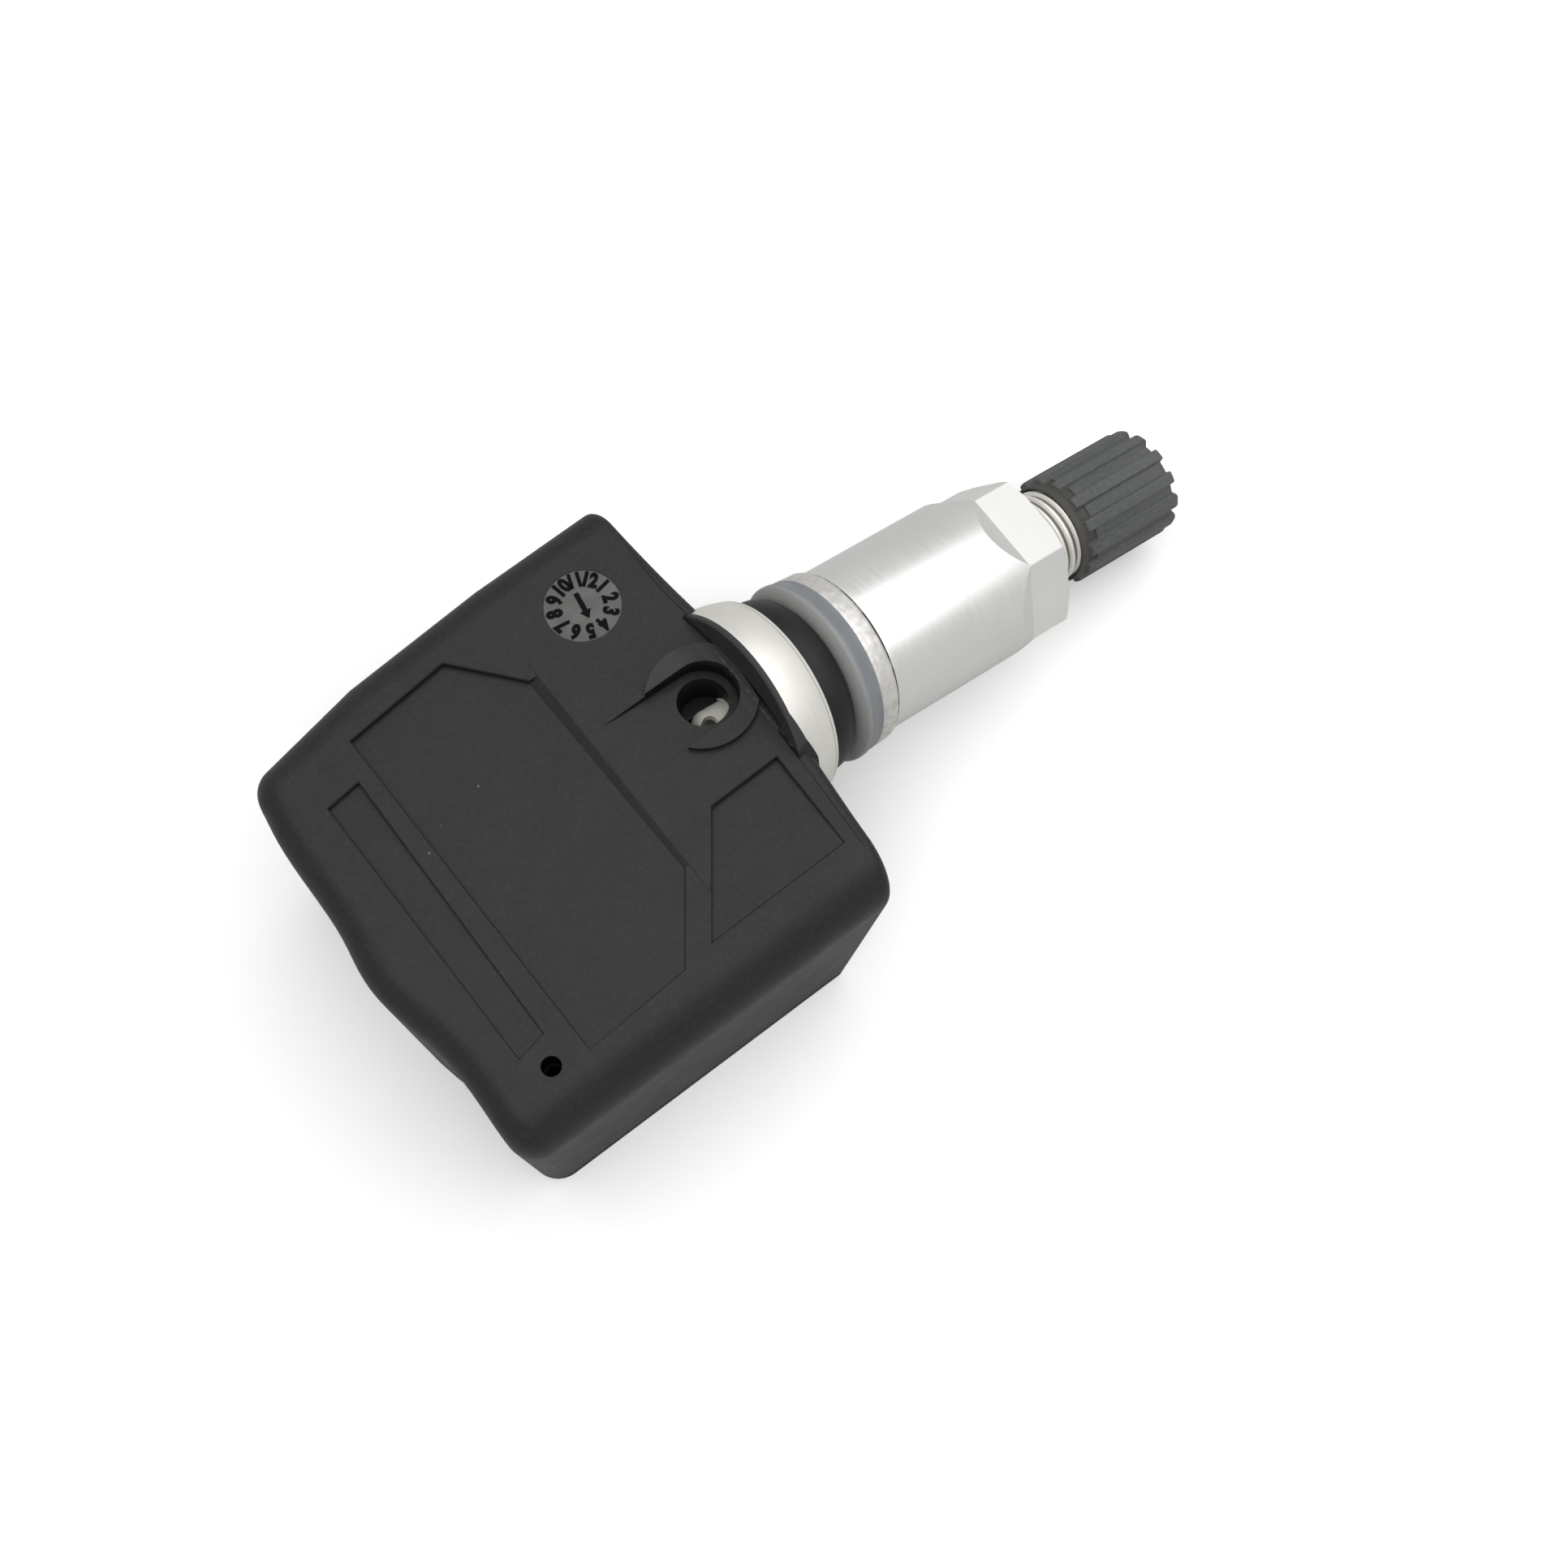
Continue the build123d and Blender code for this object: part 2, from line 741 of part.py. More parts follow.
with BuildPart() as valve_stem:
    with BuildSketch(section):
        with BuildLine():
            ball = ThreePointArc(
                (border_station, on_ball(border_station)),
                (ball_station, ball_radius),
                (flange_edge_station, on_ball(flange_edge_station)),
            )
            Polyline(
                ball @ 1,
                (grommet_station, on_ball(grommet_station) - flange_edge),
                (grommet_station, thread_radius),
                (stem_end_station - 0.4, thread_radius),
                (stem_end_station, thread_radius - 0.4),
                (stem_end_station, core_thread_radius + bore_clearance),
                (core_collar_station - 0.5, core_thread_radius + bore_clearance),
                (core_shoulder_station - 0.3, core_chamber_radius),
                (core_foot_station - 4.0, core_chamber_radius),
                (core_foot_station - 5.0, air_bore_radius),
                (tail_end_station + tail_dome, air_bore_radius),
                (tail_end_station + tail_dome, 0),
                (tail_end_station, 0),
            )
            tail_round = ThreePointArc(
                (tail_end_station, 0),
                (tail_end_station + 0.29 * tail_dome, 0.71 * tail_radius),
                (tail_end_station + tail_dome, tail_radius),
            )
            Polyline(
                tail_round @ 1,
                (tail_step_station, tail_radius),
                (tail_step_station, shank_radius),
                (flange_station, shank_radius),
                (flange_station, flange_seat_radius),
                ball @ 0,
            )
        make_face()
    revolve(axis=stem_axis)
    # The air outlet, drilled across the tail under the air hole of the case
    outlet_station = (air_hole_x - outlet_shift - axis_x) / math.cos(tilt)
    with BuildSketch(Plane(origin=axis_point + axis_dir * outlet_station, x_dir=axis_dir, z_dir=axis_up)):
        Circle(outlet_radius)
    extrude(amount=2 * tail_radius, mode=Mode.SUBTRACT)
valve_stem.part.label = "valve_stem"
export_step(valve_stem.part, "parts/valve_stem.step")

with BuildPart() as grommet:
    with BuildSketch(section):
        with BuildLine():
            side = Spline(
                (grommet_station, grommet_radius - 0.35),
                (grommet_station + 0.9, grommet_radius),
                (plastic_station - 1.1, grommet_radius - 0.1),
                (plastic_station, grommet_radius - 0.65),
            )
            Polyline(side @ 1, (plastic_station, bore_radius), (grommet_station, bore_radius), side @ 0)
        make_face()
    revolve(axis=stem_axis)
grommet.part.label = "grommet"
export_step(grommet.part, "parts/grommet.step")

with BuildPart() as plastic_washer:
    with BuildSketch(section):
        with BuildLine():
            hollow_side = ThreePointArc(
                (plastic_station + 0.6, plastic_washer_radius - 0.12),
                (plastic_station + 1.2, plastic_washer_radius - 0.4),
                (washer_station - 0.25, plastic_washer_radius - 0.05),
            )
            Polyline(
                hollow_side @ 1,
                (washer_station, plastic_washer_radius),
                (washer_station, bore_radius),
                (plastic_station, bore_radius),
                (plastic_station, plastic_washer_radius - 0.3),
                (plastic_station + 0.15, plastic_washer_radius - 0.12),
                hollow_side @ 0,
            )
        make_face()
    revolve(axis=stem_axis)
plastic_washer.part.label = "plastic_washer"
export_step(plastic_washer.part, "parts/plastic_washer.step")

with BuildPart() as metal_washer:
    with BuildSketch(section):
        with BuildLine():
            Polyline(
                (washer_station, bore_radius),
                (washer_station, metal_washer_radius - 0.12),
                (washer_station + 0.12, metal_washer_radius),
                (-0.2, metal_washer_radius),
                (0, metal_washer_radius - 0.2),
                (0, bore_radius),
                close=True,
            )
        make_face()
    revolve(axis=stem_axis)
metal_washer.part.label = "metal_washer"
export_step(metal_washer.part, "parts/metal_washer.step")

hex_station = nut_length - hex_length
runout = (nut_radius - hex_across_flats / 2) * 2.0
with BuildPart() as valve_nut:
    with BuildSketch(section):
        with BuildLine():
            Polyline(
                (0, bore_radius),
                (0, nut_radius - 0.15),
                (0.15, nut_radius),
                (nut_length - 0.35, nut_radius),
                (nut_length, nut_radius - 0.7),
                (nut_length, bore_radius + 0.35),
                (nut_length - 0.35, bore_radius),
                close=True,
            )
        make_face()
    revolve(axis=stem_axis)
    # Six flats, each with a sloping run-out into the round sleeve
    for k in range(6):
        turn = math.radians(hex_turn + 60 * k)
        outward = Vector(0, math.cos(turn), 0) + axis_up * math.sin(turn)
        flat_plane = Plane(origin=axis_point, x_dir=axis_dir, z_dir=axis_dir.cross(outward))
        with BuildSketch(flat_plane):
            with BuildLine():
                Polyline(
                    (hex_station - 2 * runout, hex_across_flats / 2 + runout),
                    (hex_station, hex_across_flats / 2),
                    (nut_length + 1, hex_across_flats / 2),
                    (nut_length + 1, hex_across_flats / 2 + 4),
                    (hex_station - 2 * runout, hex_across_flats / 2 + 4),
                    close=True,
                )
            make_face()
        extrude(amount=nut_radius, both=True, mode=Mode.SUBTRACT)
valve_nut.part.label = "valve_nut"
export_step(valve_nut.part, "parts/valve_nut.step")

with BuildPart() as valve_cap:
    with BuildSketch(section):
        with BuildLine():
            crown = ThreePointArc(
                (cap_end_station - cap_crown_round, cap_rib_radius),
                (cap_end_station - 0.29 * cap_crown_round, cap_rib_radius - 0.29 * cap_crown_round),
                (cap_end_station, cap_rib_radius - cap_crown_round),
            )
            Polyline(
                crown @ 1,
                (cap_end_station, 0),
                (cap_floor_station, 0),
                (cap_floor_station, bore_radius),
                (cap_mouth_station, bore_radius),
                (cap_mouth_station, cap_ring_radius - cap_ring_edge),
                (cap_mouth_station + cap_ring_edge, cap_ring_radius),
                (flute_station - cap_ring_edge, cap_ring_radius),
                (flute_station, cap_rib_radius),
                crown @ 0,
            )
        make_face()
    revolve(axis=stem_axis)
    # Flutes between the ribs, each starting in a small square pocket behind the mouth ring
    flute_rim = cap_rib_radius + cap_flute_reach
    flute_depth = flute_rim - cap_groove_radius
    with BuildSketch(across(flute_station)):
        with PolarLocations(flute_rim, cap_rib_count):
            Rectangle(2 * flute_depth, cap_groove_width)
    extrude(amount=cap_length, mode=Mode.SUBTRACT)
    with BuildSketch(across(flute_station)):
        with PolarLocations(flute_rim, cap_rib_count):
            Rectangle(2 * (flute_depth + cap_pocket_depth), cap_pocket_width)
    extrude(amount=cap_pocket_length, mode=Mode.SUBTRACT)
    # Between the rib ends the flutes fall away
    with BuildSketch(across(cap_end_station - cap_notch_length)):
        with PolarLocations(flute_rim, cap_rib_count):
            Rectangle(2 * (flute_depth + cap_notch_depth), cap_groove_width)
    extrude(amount=2 * cap_notch_length, mode=Mode.SUBTRACT)
valve_cap.part.label = "valve_cap"
export_step(valve_cap.part, "parts/valve_cap.step")

with BuildPart() as cap_seal:
    with BuildSketch(across(stem_end_station + cap_seal_gap)):
        Circle(bore_radius - 0.3)
    extrude(amount=cap_seal_thickness)
cap_seal.part.label = "cap_seal"
export_step(cap_seal.part, "parts/cap_seal.step")

with BuildPart() as core_body:
    with BuildSketch(section):
        with BuildLine():
            Polyline(
                (core_foot_station, pin_radius + pin_gap),
                (core_foot_station, core_chamber_radius - 0.9),
                (core_foot_station + 0.3, core_chamber_radius - 0.6),
                (core_groove_station, core_chamber_radius - 0.6),
                (core_groove_station, core_chamber_radius - 0.75),
                (core_shoulder_station, core_chamber_radius - 0.75),
                (core_shoulder_station, core_chamber_radius - 0.1),
                (core_collar_station, core_chamber_radius - 0.1),
                (core_collar_station, core_thread_radius),
                (core_end_station, core_thread_radius),
                (core_end_station, pin_radius + pin_gap),
                (core_collar_station + 2.0, pin_radius + pin_gap),
                (core_collar_station + 2.0, core_chamber_radius - 1.0),
                (core_foot_station + core_ledge, core_chamber_radius - 1.0),
                (core_foot_station + core_ledge, pin_radius + pin_gap),
                close=True,
            )
        make_face()
    revolve(axis=stem_axis)
    # Two flats on the head for the core key
    with BuildSketch(across(core_end_station - core_key_length)):
        Rectangle(3 * core_thread_radius, 3 * core_thread_radius)
        Rectangle(core_key_width, 3 * core_thread_radius, mode=Mode.SUBTRACT)
    extrude(amount=2 * core_key_length, mode=Mode.SUBTRACT)
core_body.part.label = "core_body"
export_step(core_body.part, "parts/core_body.step")

with BuildPart() as core_gasket:
    with BuildSketch(across(core_groove_station)):
        Circle(core_chamber_radius - 0.02)
        Circle(core_chamber_radius - 0.73, mode=Mode.SUBTRACT)
    extrude(amount=core_gasket_length)
core_gasket.part.label = "core_gasket"
export_step(core_gasket.part, "parts/core_gasket.step")

with BuildPart() as core_pin:
    with BuildSketch(section):
        with BuildLine():
            Polyline(
                (pin_foot_station, 0),
                (pin_foot_station, cup_radius),
                (pin_foot_station + cup_thickness, cup_radius),
                (pin_foot_station + cup_thickness, pin_radius),
                (pin_stop_station, pin_radius),
                (pin_stop_station, pin_stop_radius),
                (pin_stop_station + pin_stop_thickness, pin_stop_radius),
                (pin_stop_station + pin_stop_thickness, pin_radius),
                (pin_end_station - 0.15, pin_radius),
                (pin_end_station, pin_radius - 0.15),
                (pin_end_station, 0),
                close=True,
            )
        make_face()
    revolve(axis=stem_axis)
core_pin.part.label = "core_pin"
export_step(core_pin.part, "parts/core_pin.step")

with BuildPart() as core_seal:
    with BuildSketch(across(pin_foot_station + cup_thickness)):
        Circle(cup_radius - 0.05)
        Circle(pin_radius + 0.02, mode=Mode.SUBTRACT)
    extrude(amount=seal_thickness)
core_seal.part.label = "core_seal"
export_step(core_seal.part, "parts/core_seal.step")

spring_start = core_foot_station + core_ledge + spring_wire
spring_height = pin_stop_above_ledge - 2 * spring_wire
with BuildPart() as core_spring:
    with BuildLine() as coil_line:
        Helix(
            pitch=spring_height / 6,
            height=spring_height,
            radius=spring_radius,
            center=axis_point + axis_dir * spring_start,
            direction=axis_dir,
        )
    with BuildSketch(Plane(origin=coil_line.line @ 0, z_dir=coil_line.line % 0)):
        Circle(spring_wire)
    sweep()
core_spring.part.label = "core_spring"
export_step(core_spring.part, "parts/core_spring.step")
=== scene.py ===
# %% [markdown]
# # A tyre pressure sensor on its valve
# The solids of the sensor come in as a fixed frame. This lesson gives them their looks: turned and
# threaded metal, moulded plastic, rubber and nylon, and the small marks that a used part carries.
# Everything is in metres, in the frame of the solids: the case stands on Z = 0 and the valve points
# along +X, dipping a little. Sizes are typed in millimetres and multiplied by MM where they go in.

# %% Load the frame
import math

import bmesh
import bpy
from mathutils import Matrix, Vector
from mathutils import noise as point_noise


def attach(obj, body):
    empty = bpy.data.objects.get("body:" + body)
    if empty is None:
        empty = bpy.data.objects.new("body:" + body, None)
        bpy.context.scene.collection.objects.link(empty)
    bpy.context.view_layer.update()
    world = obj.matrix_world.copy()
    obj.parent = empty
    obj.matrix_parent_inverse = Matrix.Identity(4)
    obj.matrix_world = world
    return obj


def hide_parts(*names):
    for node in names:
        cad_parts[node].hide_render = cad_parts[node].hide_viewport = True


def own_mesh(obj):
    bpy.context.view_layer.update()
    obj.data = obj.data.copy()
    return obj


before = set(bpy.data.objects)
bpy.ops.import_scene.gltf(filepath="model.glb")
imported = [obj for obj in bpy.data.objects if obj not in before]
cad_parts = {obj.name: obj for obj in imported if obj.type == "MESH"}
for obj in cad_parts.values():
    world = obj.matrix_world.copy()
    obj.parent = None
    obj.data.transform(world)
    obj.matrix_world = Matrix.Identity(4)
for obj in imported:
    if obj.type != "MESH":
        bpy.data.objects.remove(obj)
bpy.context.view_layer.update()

# %% [markdown]
# ## The valve's own axis
# Most of the visible metal is turned about the valve's axis, which dips 14.5 degrees. It is easiest to
# model such a piece lying along X, in millimetres of station and radius, and to lay the finished mesh on
# the real axis with one matrix. Station 0 is where the nut starts.

# %% The valve frame
MM = 0.001
valve_x = 25.0
valve_z = 12.7
valve_dip = math.radians(14.5)
valve_point = Vector((valve_x, 0.0, valve_z)) * MM
valve_frame = Matrix.Translation(valve_point) @ Matrix.Rotation(valve_dip, 4, "Y")

# %% [markdown]
# ## The camera
# The picture was taken from high up on the near side. The camera's place and its three axes were worked
# out from the rings of the valve, which are circles of known size, so the render lines up with it. A
# camera looks along its own -Z, so its matrix is made of three columns: right, up and back. The focal
# length is given for a sensor 36 mm wide.

# %% Place the camera
scene = bpy.context.scene
camera_place = Vector((-22.707, -58.993, 184.862)) * MM
camera_right = Vector((0.79199, -0.61037, -0.01404))
camera_up = Vector((0.57463, 0.73746, 0.35491))
camera_back = Vector((-0.20627, -0.28915, 0.93480))
camera_data = bpy.data.cameras.new("camera")
camera_data.sensor_width = 36.0
camera_data.lens = 55.90
camera_data.clip_start = 5.0 * MM
camera = bpy.data.objects.new("camera", camera_data)
camera_turn = Matrix((camera_right, camera_up, camera_back)).transposed().to_4x4()
camera.matrix_world = Matrix.Translation(camera_place) @ camera_turn
scene.collection.objects.link(camera)
scene.camera = camera
print("camera at", tuple(camera_place))

# %% [markdown]
# ## A small kit for nodes
# Every finish is one Principled shader fed by procedural textures on Object coordinates, so that the
# pattern is fixed to the solid and needs no images. Wiring nodes by hand takes many lines, so the node
# helpers make a node, fill in its sockets and hand back what comes out of it, and the shader helpers
# start a material and feed its colour, gloss and bump.

# %% Node helpers
def add_node(tree, kind, settings=None, **sockets):
    """One shader node, with settings for its menus and values for its input sockets."""
    made = tree.nodes.new("ShaderNode" + kind)
    for key_name, value in (settings or {}).items():
        setattr(made, key_name, value)
    for socket, value in sockets.items():
        made.inputs[socket.replace("_", " ")].default_value = value
    return made


def stepped(tree, source, low, high, out_low=0.0, out_high=1.0):
    """A value stretched from low..high to out_low..out_high and held there."""
    made = add_node(tree, "MapRange", From_Min=low, From_Max=high, To_Min=out_low, To_Max=out_high)
    tree.links.new(source, made.inputs["Value"])
    return made.outputs["Result"]


def combined(tree, operation, first, second):
    """Two values put together by a Math node; each is a number or another socket."""
    made = add_node(tree, "Math", {"operation": operation})
    for socket, value in zip(made.inputs, (first, second)):
        if isinstance(value, float):
            socket.default_value = value
        else:
            tree.links.new(value, socket)
    return made.outputs[0]


def product(tree, first, second):
    """Two masks multiplied: one only where both are."""
    return combined(tree, "MULTIPLY", first, second)


def blended(tree, mask, colour_a, colour_b):
    """Two colours mixed by a mask; each is a constant or another socket."""
    made = add_node(tree, "Mix", {"data_type": "RGBA"})
    tree.links.new(mask, made.inputs["Factor"])
    for socket, colour in (("A", colour_a), ("B", colour_b)):
        place = [s for s in made.inputs if s.name == socket and s.type == "RGBA"][0]
        if isinstance(colour, tuple):
            place.default_value = (*colour, 1.0)
        else:
            tree.links.new(colour, place)
    return [s for s in made.outputs if s.type == "RGBA"][0]


print("node helpers ready")

# %% Shader helpers
def finish(name, metallic, roughness, colour, specular=0.5):
    """A new material with its Principled shader set: returns the material, its tree and the shader."""
    material = bpy.data.materials.new(name)
    material.use_nodes = True
    tree = material.node_tree
    shader = tree.nodes["Principled BSDF"]
    shader.inputs["Metallic"].default_value = metallic
    shader.inputs["Roughness"].default_value = roughness
    shader.inputs["Base Color"].default_value = (*colour, 1.0)
    shader.inputs["Specular IOR Level"].default_value = specular
    return material, tree, shader


def paint(tree, shader, colour):
    """Feeds a colour to the shader."""
    tree.links.new(colour, shader.inputs["Base Color"])


def vary_gloss(tree, shader, source, at_low, at_high):
    """Lets a noise swing the shader's roughness between two values."""
    tree.links.new(stepped(tree, source, 0.3, 0.7, at_low, at_high), shader.inputs["Roughness"])


def relief(tree, shader, height, depth, strength):
    """A bump of the given depth in millimetres, fed to the shader's normal."""
    bump = add_node(tree, "Bump", Strength=strength, Distance=depth * MM)
    tree.links.new(height, bump.inputs["Height"])
    tree.links.new(bump.outputs["Normal"], shader.inputs["Normal"])


print("shader helpers ready")

# %% [markdown]
# ## Floor and light
# The sensor lies on white paper under one broad soft panel overhead that reaches well out beyond the
# valve, so the metal mirrors it as a wide white band. The world fills in evenly and is a bit brighter for
# mirrors than for matt surfaces, as the walls of a light tent are; the camera sees it white. The paper is
# paler and glows a little for the camera only, which turns it white without lighting the object more and
# keeps the shadow.

# %% Light the tent
tent_for_matt = 0.50
tent_for_mirrors = 0.68
white = (1.0, 1.0, 1.0, 1.0)

scene.view_settings.view_transform = "Standard"
world = bpy.data.worlds.new("studio")
world.use_nodes = True
sky = world.node_tree
rays = add_node(sky, "LightPath")
tent = stepped(sky, rays.outputs["Is Glossy Ray"], 0.0, 1.0, tent_for_matt, tent_for_mirrors)
backdrop = sky.nodes["Background"]
backdrop.inputs["Color"].default_value = white
sky.links.new(combined(sky, "MAXIMUM", tent, rays.outputs["Is Camera Ray"]), backdrop.inputs["Strength"])
scene.world = world
print("tent of strength", tent_for_matt, "for matt surfaces and", tent_for_mirrors, "for mirrors")

# %% Hang the panel
panel_size = (1.00, 0.85)
panel_place = (0.2, -0.105, 0.5)
panel_radiance = 1.2

panel_data = bpy.data.lights.new("overhead_panel", "AREA")
panel_data.shape = "RECTANGLE"
panel_data.size = panel_size[0]
panel_data.size_y = panel_size[1]
panel_data.energy = panel_radiance * math.pi * panel_size[0] * panel_size[1]
panel = bpy.data.objects.new("overhead_panel", panel_data)
panel.location = panel_place
scene.collection.objects.link(panel)
print("overhead panel of", round(panel_data.energy, 2), "W")

# %% Lay the paper
paper_for_light = (0.60, 0.60, 0.596)
paper_for_camera = (0.95, 0.95, 0.945)
paper_glow = 0.20
floor_half_side = 500.0
floor_gap = 0.05

paper, paper_tree, paper_shader = finish("white_paper", 0.0, 0.9, paper_for_camera)
from_camera = add_node(paper_tree, "LightPath").outputs["Is Camera Ray"]
paint(paper_tree, paper_shader, blended(paper_tree, from_camera, paper_for_light, paper_for_camera))
paper_shader.inputs["Emission Color"].default_value = white
glow = product(paper_tree, from_camera, paper_glow)
paper_tree.links.new(glow, paper_shader.inputs["Emission Strength"])

bm = bmesh.new()
bmesh.ops.create_grid(bm, x_segments=1, y_segments=1, size=floor_half_side * MM)
bmesh.ops.translate(bm, verts=bm.verts, vec=(0.0, 0.0, -floor_gap * MM))
floor_mesh = bpy.data.meshes.new("floor")
bm.to_mesh(floor_mesh)
bm.free()
floor_mesh.materials.append(paper)
floor = bpy.data.objects.new("floor", floor_mesh)
scene.collection.objects.link(floor)
print("paper of", 2.0 * floor_half_side * MM, "m a side")

# %% [markdown]
# ## Patterns and places
# Two kinds of mask drive the finishes. A noise gives blotches of a known size, wherever they fall. A band
# picks a place by its coordinates, such as a stretch of the valve or a patch of the case, and several
# bands multiplied pick a box. Both read Object coordinates, turned to the valve where a pattern follows it.

# %% Pattern helpers
def object_space(tree, scale=(1.0, 1.0, 1.0), along_valve=False):
    """Object coordinates, stretched, and turned to the valve's axis where the pattern follows it."""
    source = add_node(tree, "TexCoord").outputs["Object"]
    if along_valve:
        turn = (0.0, valve_dip, 0.0)
        level = add_node(tree, "Mapping", {"vector_type": "TEXTURE"}, Location=valve_point, Rotation=turn)
        tree.links.new(source, level.inputs["Vector"])
        source = level.outputs["Vector"]
    stretch = add_node(tree, "Mapping", Scale=scale)
    tree.links.new(source, stretch.inputs["Vector"])
    return stretch.outputs["Vector"]


def noise(tree, vector, scale, detail=3.0, roughness=0.55):
    """A noise pattern: its feature size is one over its scale, in metres."""
    made = add_node(tree, "TexNoise", Scale=scale, Detail=detail, Roughness=roughness)
    tree.links.new(vector, made.inputs["Vector"])
    return made.outputs["Fac"]


def blotches(tree, vector, scale, low, high, detail=3.0, roughness=0.55):
    """A noise made into a mask: nought below low, one above high."""
    return stepped(tree, noise(tree, vector, scale, detail, roughness), low, high)


def distance(tree, vector):
    """The length of a vector: the distance from an axis, where the part along it is squeezed flat."""
    made = add_node(tree, "VectorMath", {"operation": "LENGTH"})
    tree.links.new(vector, made.inputs[0])
    return made.outputs["Value"]


print("pattern helpers ready")

# %% Place helpers
def span(tree, source, low, high, soft):
    """A mask that is one between two values in millimetres, with soft sides."""
    rise = stepped(tree, source, (low - soft) * MM, low * MM)
    fall = stepped(tree, source, high * MM, (high + soft) * MM, 1.0, 0.0)
    return product(tree, rise, fall)


def band(tree, vector, axis, low, high, soft):
    """A mask that is one between two places along an axis, in millimetres, with soft sides."""
    parts = add_node(tree, "SeparateXYZ")
    tree.links.new(vector, parts.inputs["Vector"])
    return span(tree, parts.outputs[axis], low, high, soft)


def soil_hollows(tree, colour, low, high, within, shade):
    """Mixes a darker colour into a colour between two stations of the valve, within a radius, in millimetres:
    painted shade in the thread's roots, dirt and painted shade round the cap's mouth.
    """
    soft = 0.05
    fade = 0.008
    ring = band(tree, object_space(tree, along_valve=True), "X", low, high, soft)
    across = distance(tree, object_space(tree, (0.0, 1.0, 1.0), along_valve=True))
    hollow = stepped(tree, across, within * MM, (within + fade) * MM, 1.0, 0.0)
    return blended(tree, product(tree, ring, hollow), colour, shade)


def shade_well(tree, colour, centre, near, far, below, start_x, shade):
    """Mixes painted shade into a colour round an upright hole: between two radii, below a height, past an X.
    """
    soft = 0.03
    well_floor = 5.0
    past_the_case = 60.0
    to_centre = (-centre[0] * MM, -centre[1] * MM, 0.0)
    here = object_space(tree)
    middle = add_node(tree, "Mapping", Location=to_centre, Scale=(1.0, 1.0, 0.0))
    tree.links.new(here, middle.inputs["Vector"])
    ring = span(tree, distance(tree, middle.outputs["Vector"]), near, far, soft)
    deep = band(tree, here, "Z", well_floor, below, soft)
    past = band(tree, here, "X", start_x, past_the_case, soft)
    return blended(tree, product(tree, ring, product(tree, deep, past)), colour, shade)


print("place helpers ready")

# %% [markdown]
# ## Moulded plastic
# The case is glass-filled nylon with the fine grain of a spark-eroded mould: nearly black, satin, with a
# few dust specks and faint scuffs where it has rubbed on other parts. Most of what the eye takes for its
# grey is the soft gloss of the light above, so the base colour stays dark. The grain is a noise of less
# than half a millimetre, a little lighter than the clouds under it. Specks are the centres of a few
# Voronoi cells; scuffs are a noise drawn out one way. Rubbed edges, soiled flutes with painted shade,
# painted light on the boss land and the collar, and painted black shade in the holes and on the trough's
# far wall are picked by their place.

# %% Wear, painted light and painted shade on plastic
def scuffed(tree, colour, scuff_light):
    """Mixes faint scuffs into a colour: a noise drawn out one way, kept to a few patches."""
    streak_scale = (260.0, 3600.0, 900.0)
    patch_scale = 90.0
    streaks = blotches(tree, object_space(tree, streak_scale), 1.0, 0.62, 0.75, 4.0, 0.7)
    patches = blotches(tree, object_space(tree), patch_scale, 0.55, 0.7, 2.0)
    return blended(tree, product(tree, streaks, patches), colour, scuff_light)


def worn_at(tree, colour, bands, grain_low, grain_high, shade):
    """Mixes a shade into a colour where all the bands overlap, broken up by a grain, for wear and for painted
    light and shade.
    """
    wear_scale = 1500.0
    here = object_space(tree)
    place = blotches(tree, here, wear_scale, grain_low, grain_high, 5.0, 0.7)
    for axis, low, high, soft in bands:
        place = product(tree, place, band(tree, here, axis, low, high, soft))
    return blended(tree, place, colour, shade)


def dusted(tree, colour, speck_share):
    """Mixes dust specks into a colour: the centres of a share of the Voronoi cells."""
    dust = (0.20, 0.195, 0.185)
    cell_scale = 520.0
    cells = add_node(tree, "TexVoronoi", Scale=cell_scale)
    tree.links.new(object_space(tree), cells.inputs["Vector"])
    spot = stepped(tree, cells.outputs["Distance"], 0.05, 0.02)
    lot = add_node(tree, "SeparateColor")
    tree.links.new(cells.outputs["Color"], lot.inputs["Color"])
    drawn = stepped(tree, lot.outputs["Red"], 1.0 - speck_share, 1.0 - speck_share + 0.01)
    return blended(tree, product(tree, spot, drawn), colour, dust)


print("wear helpers ready")

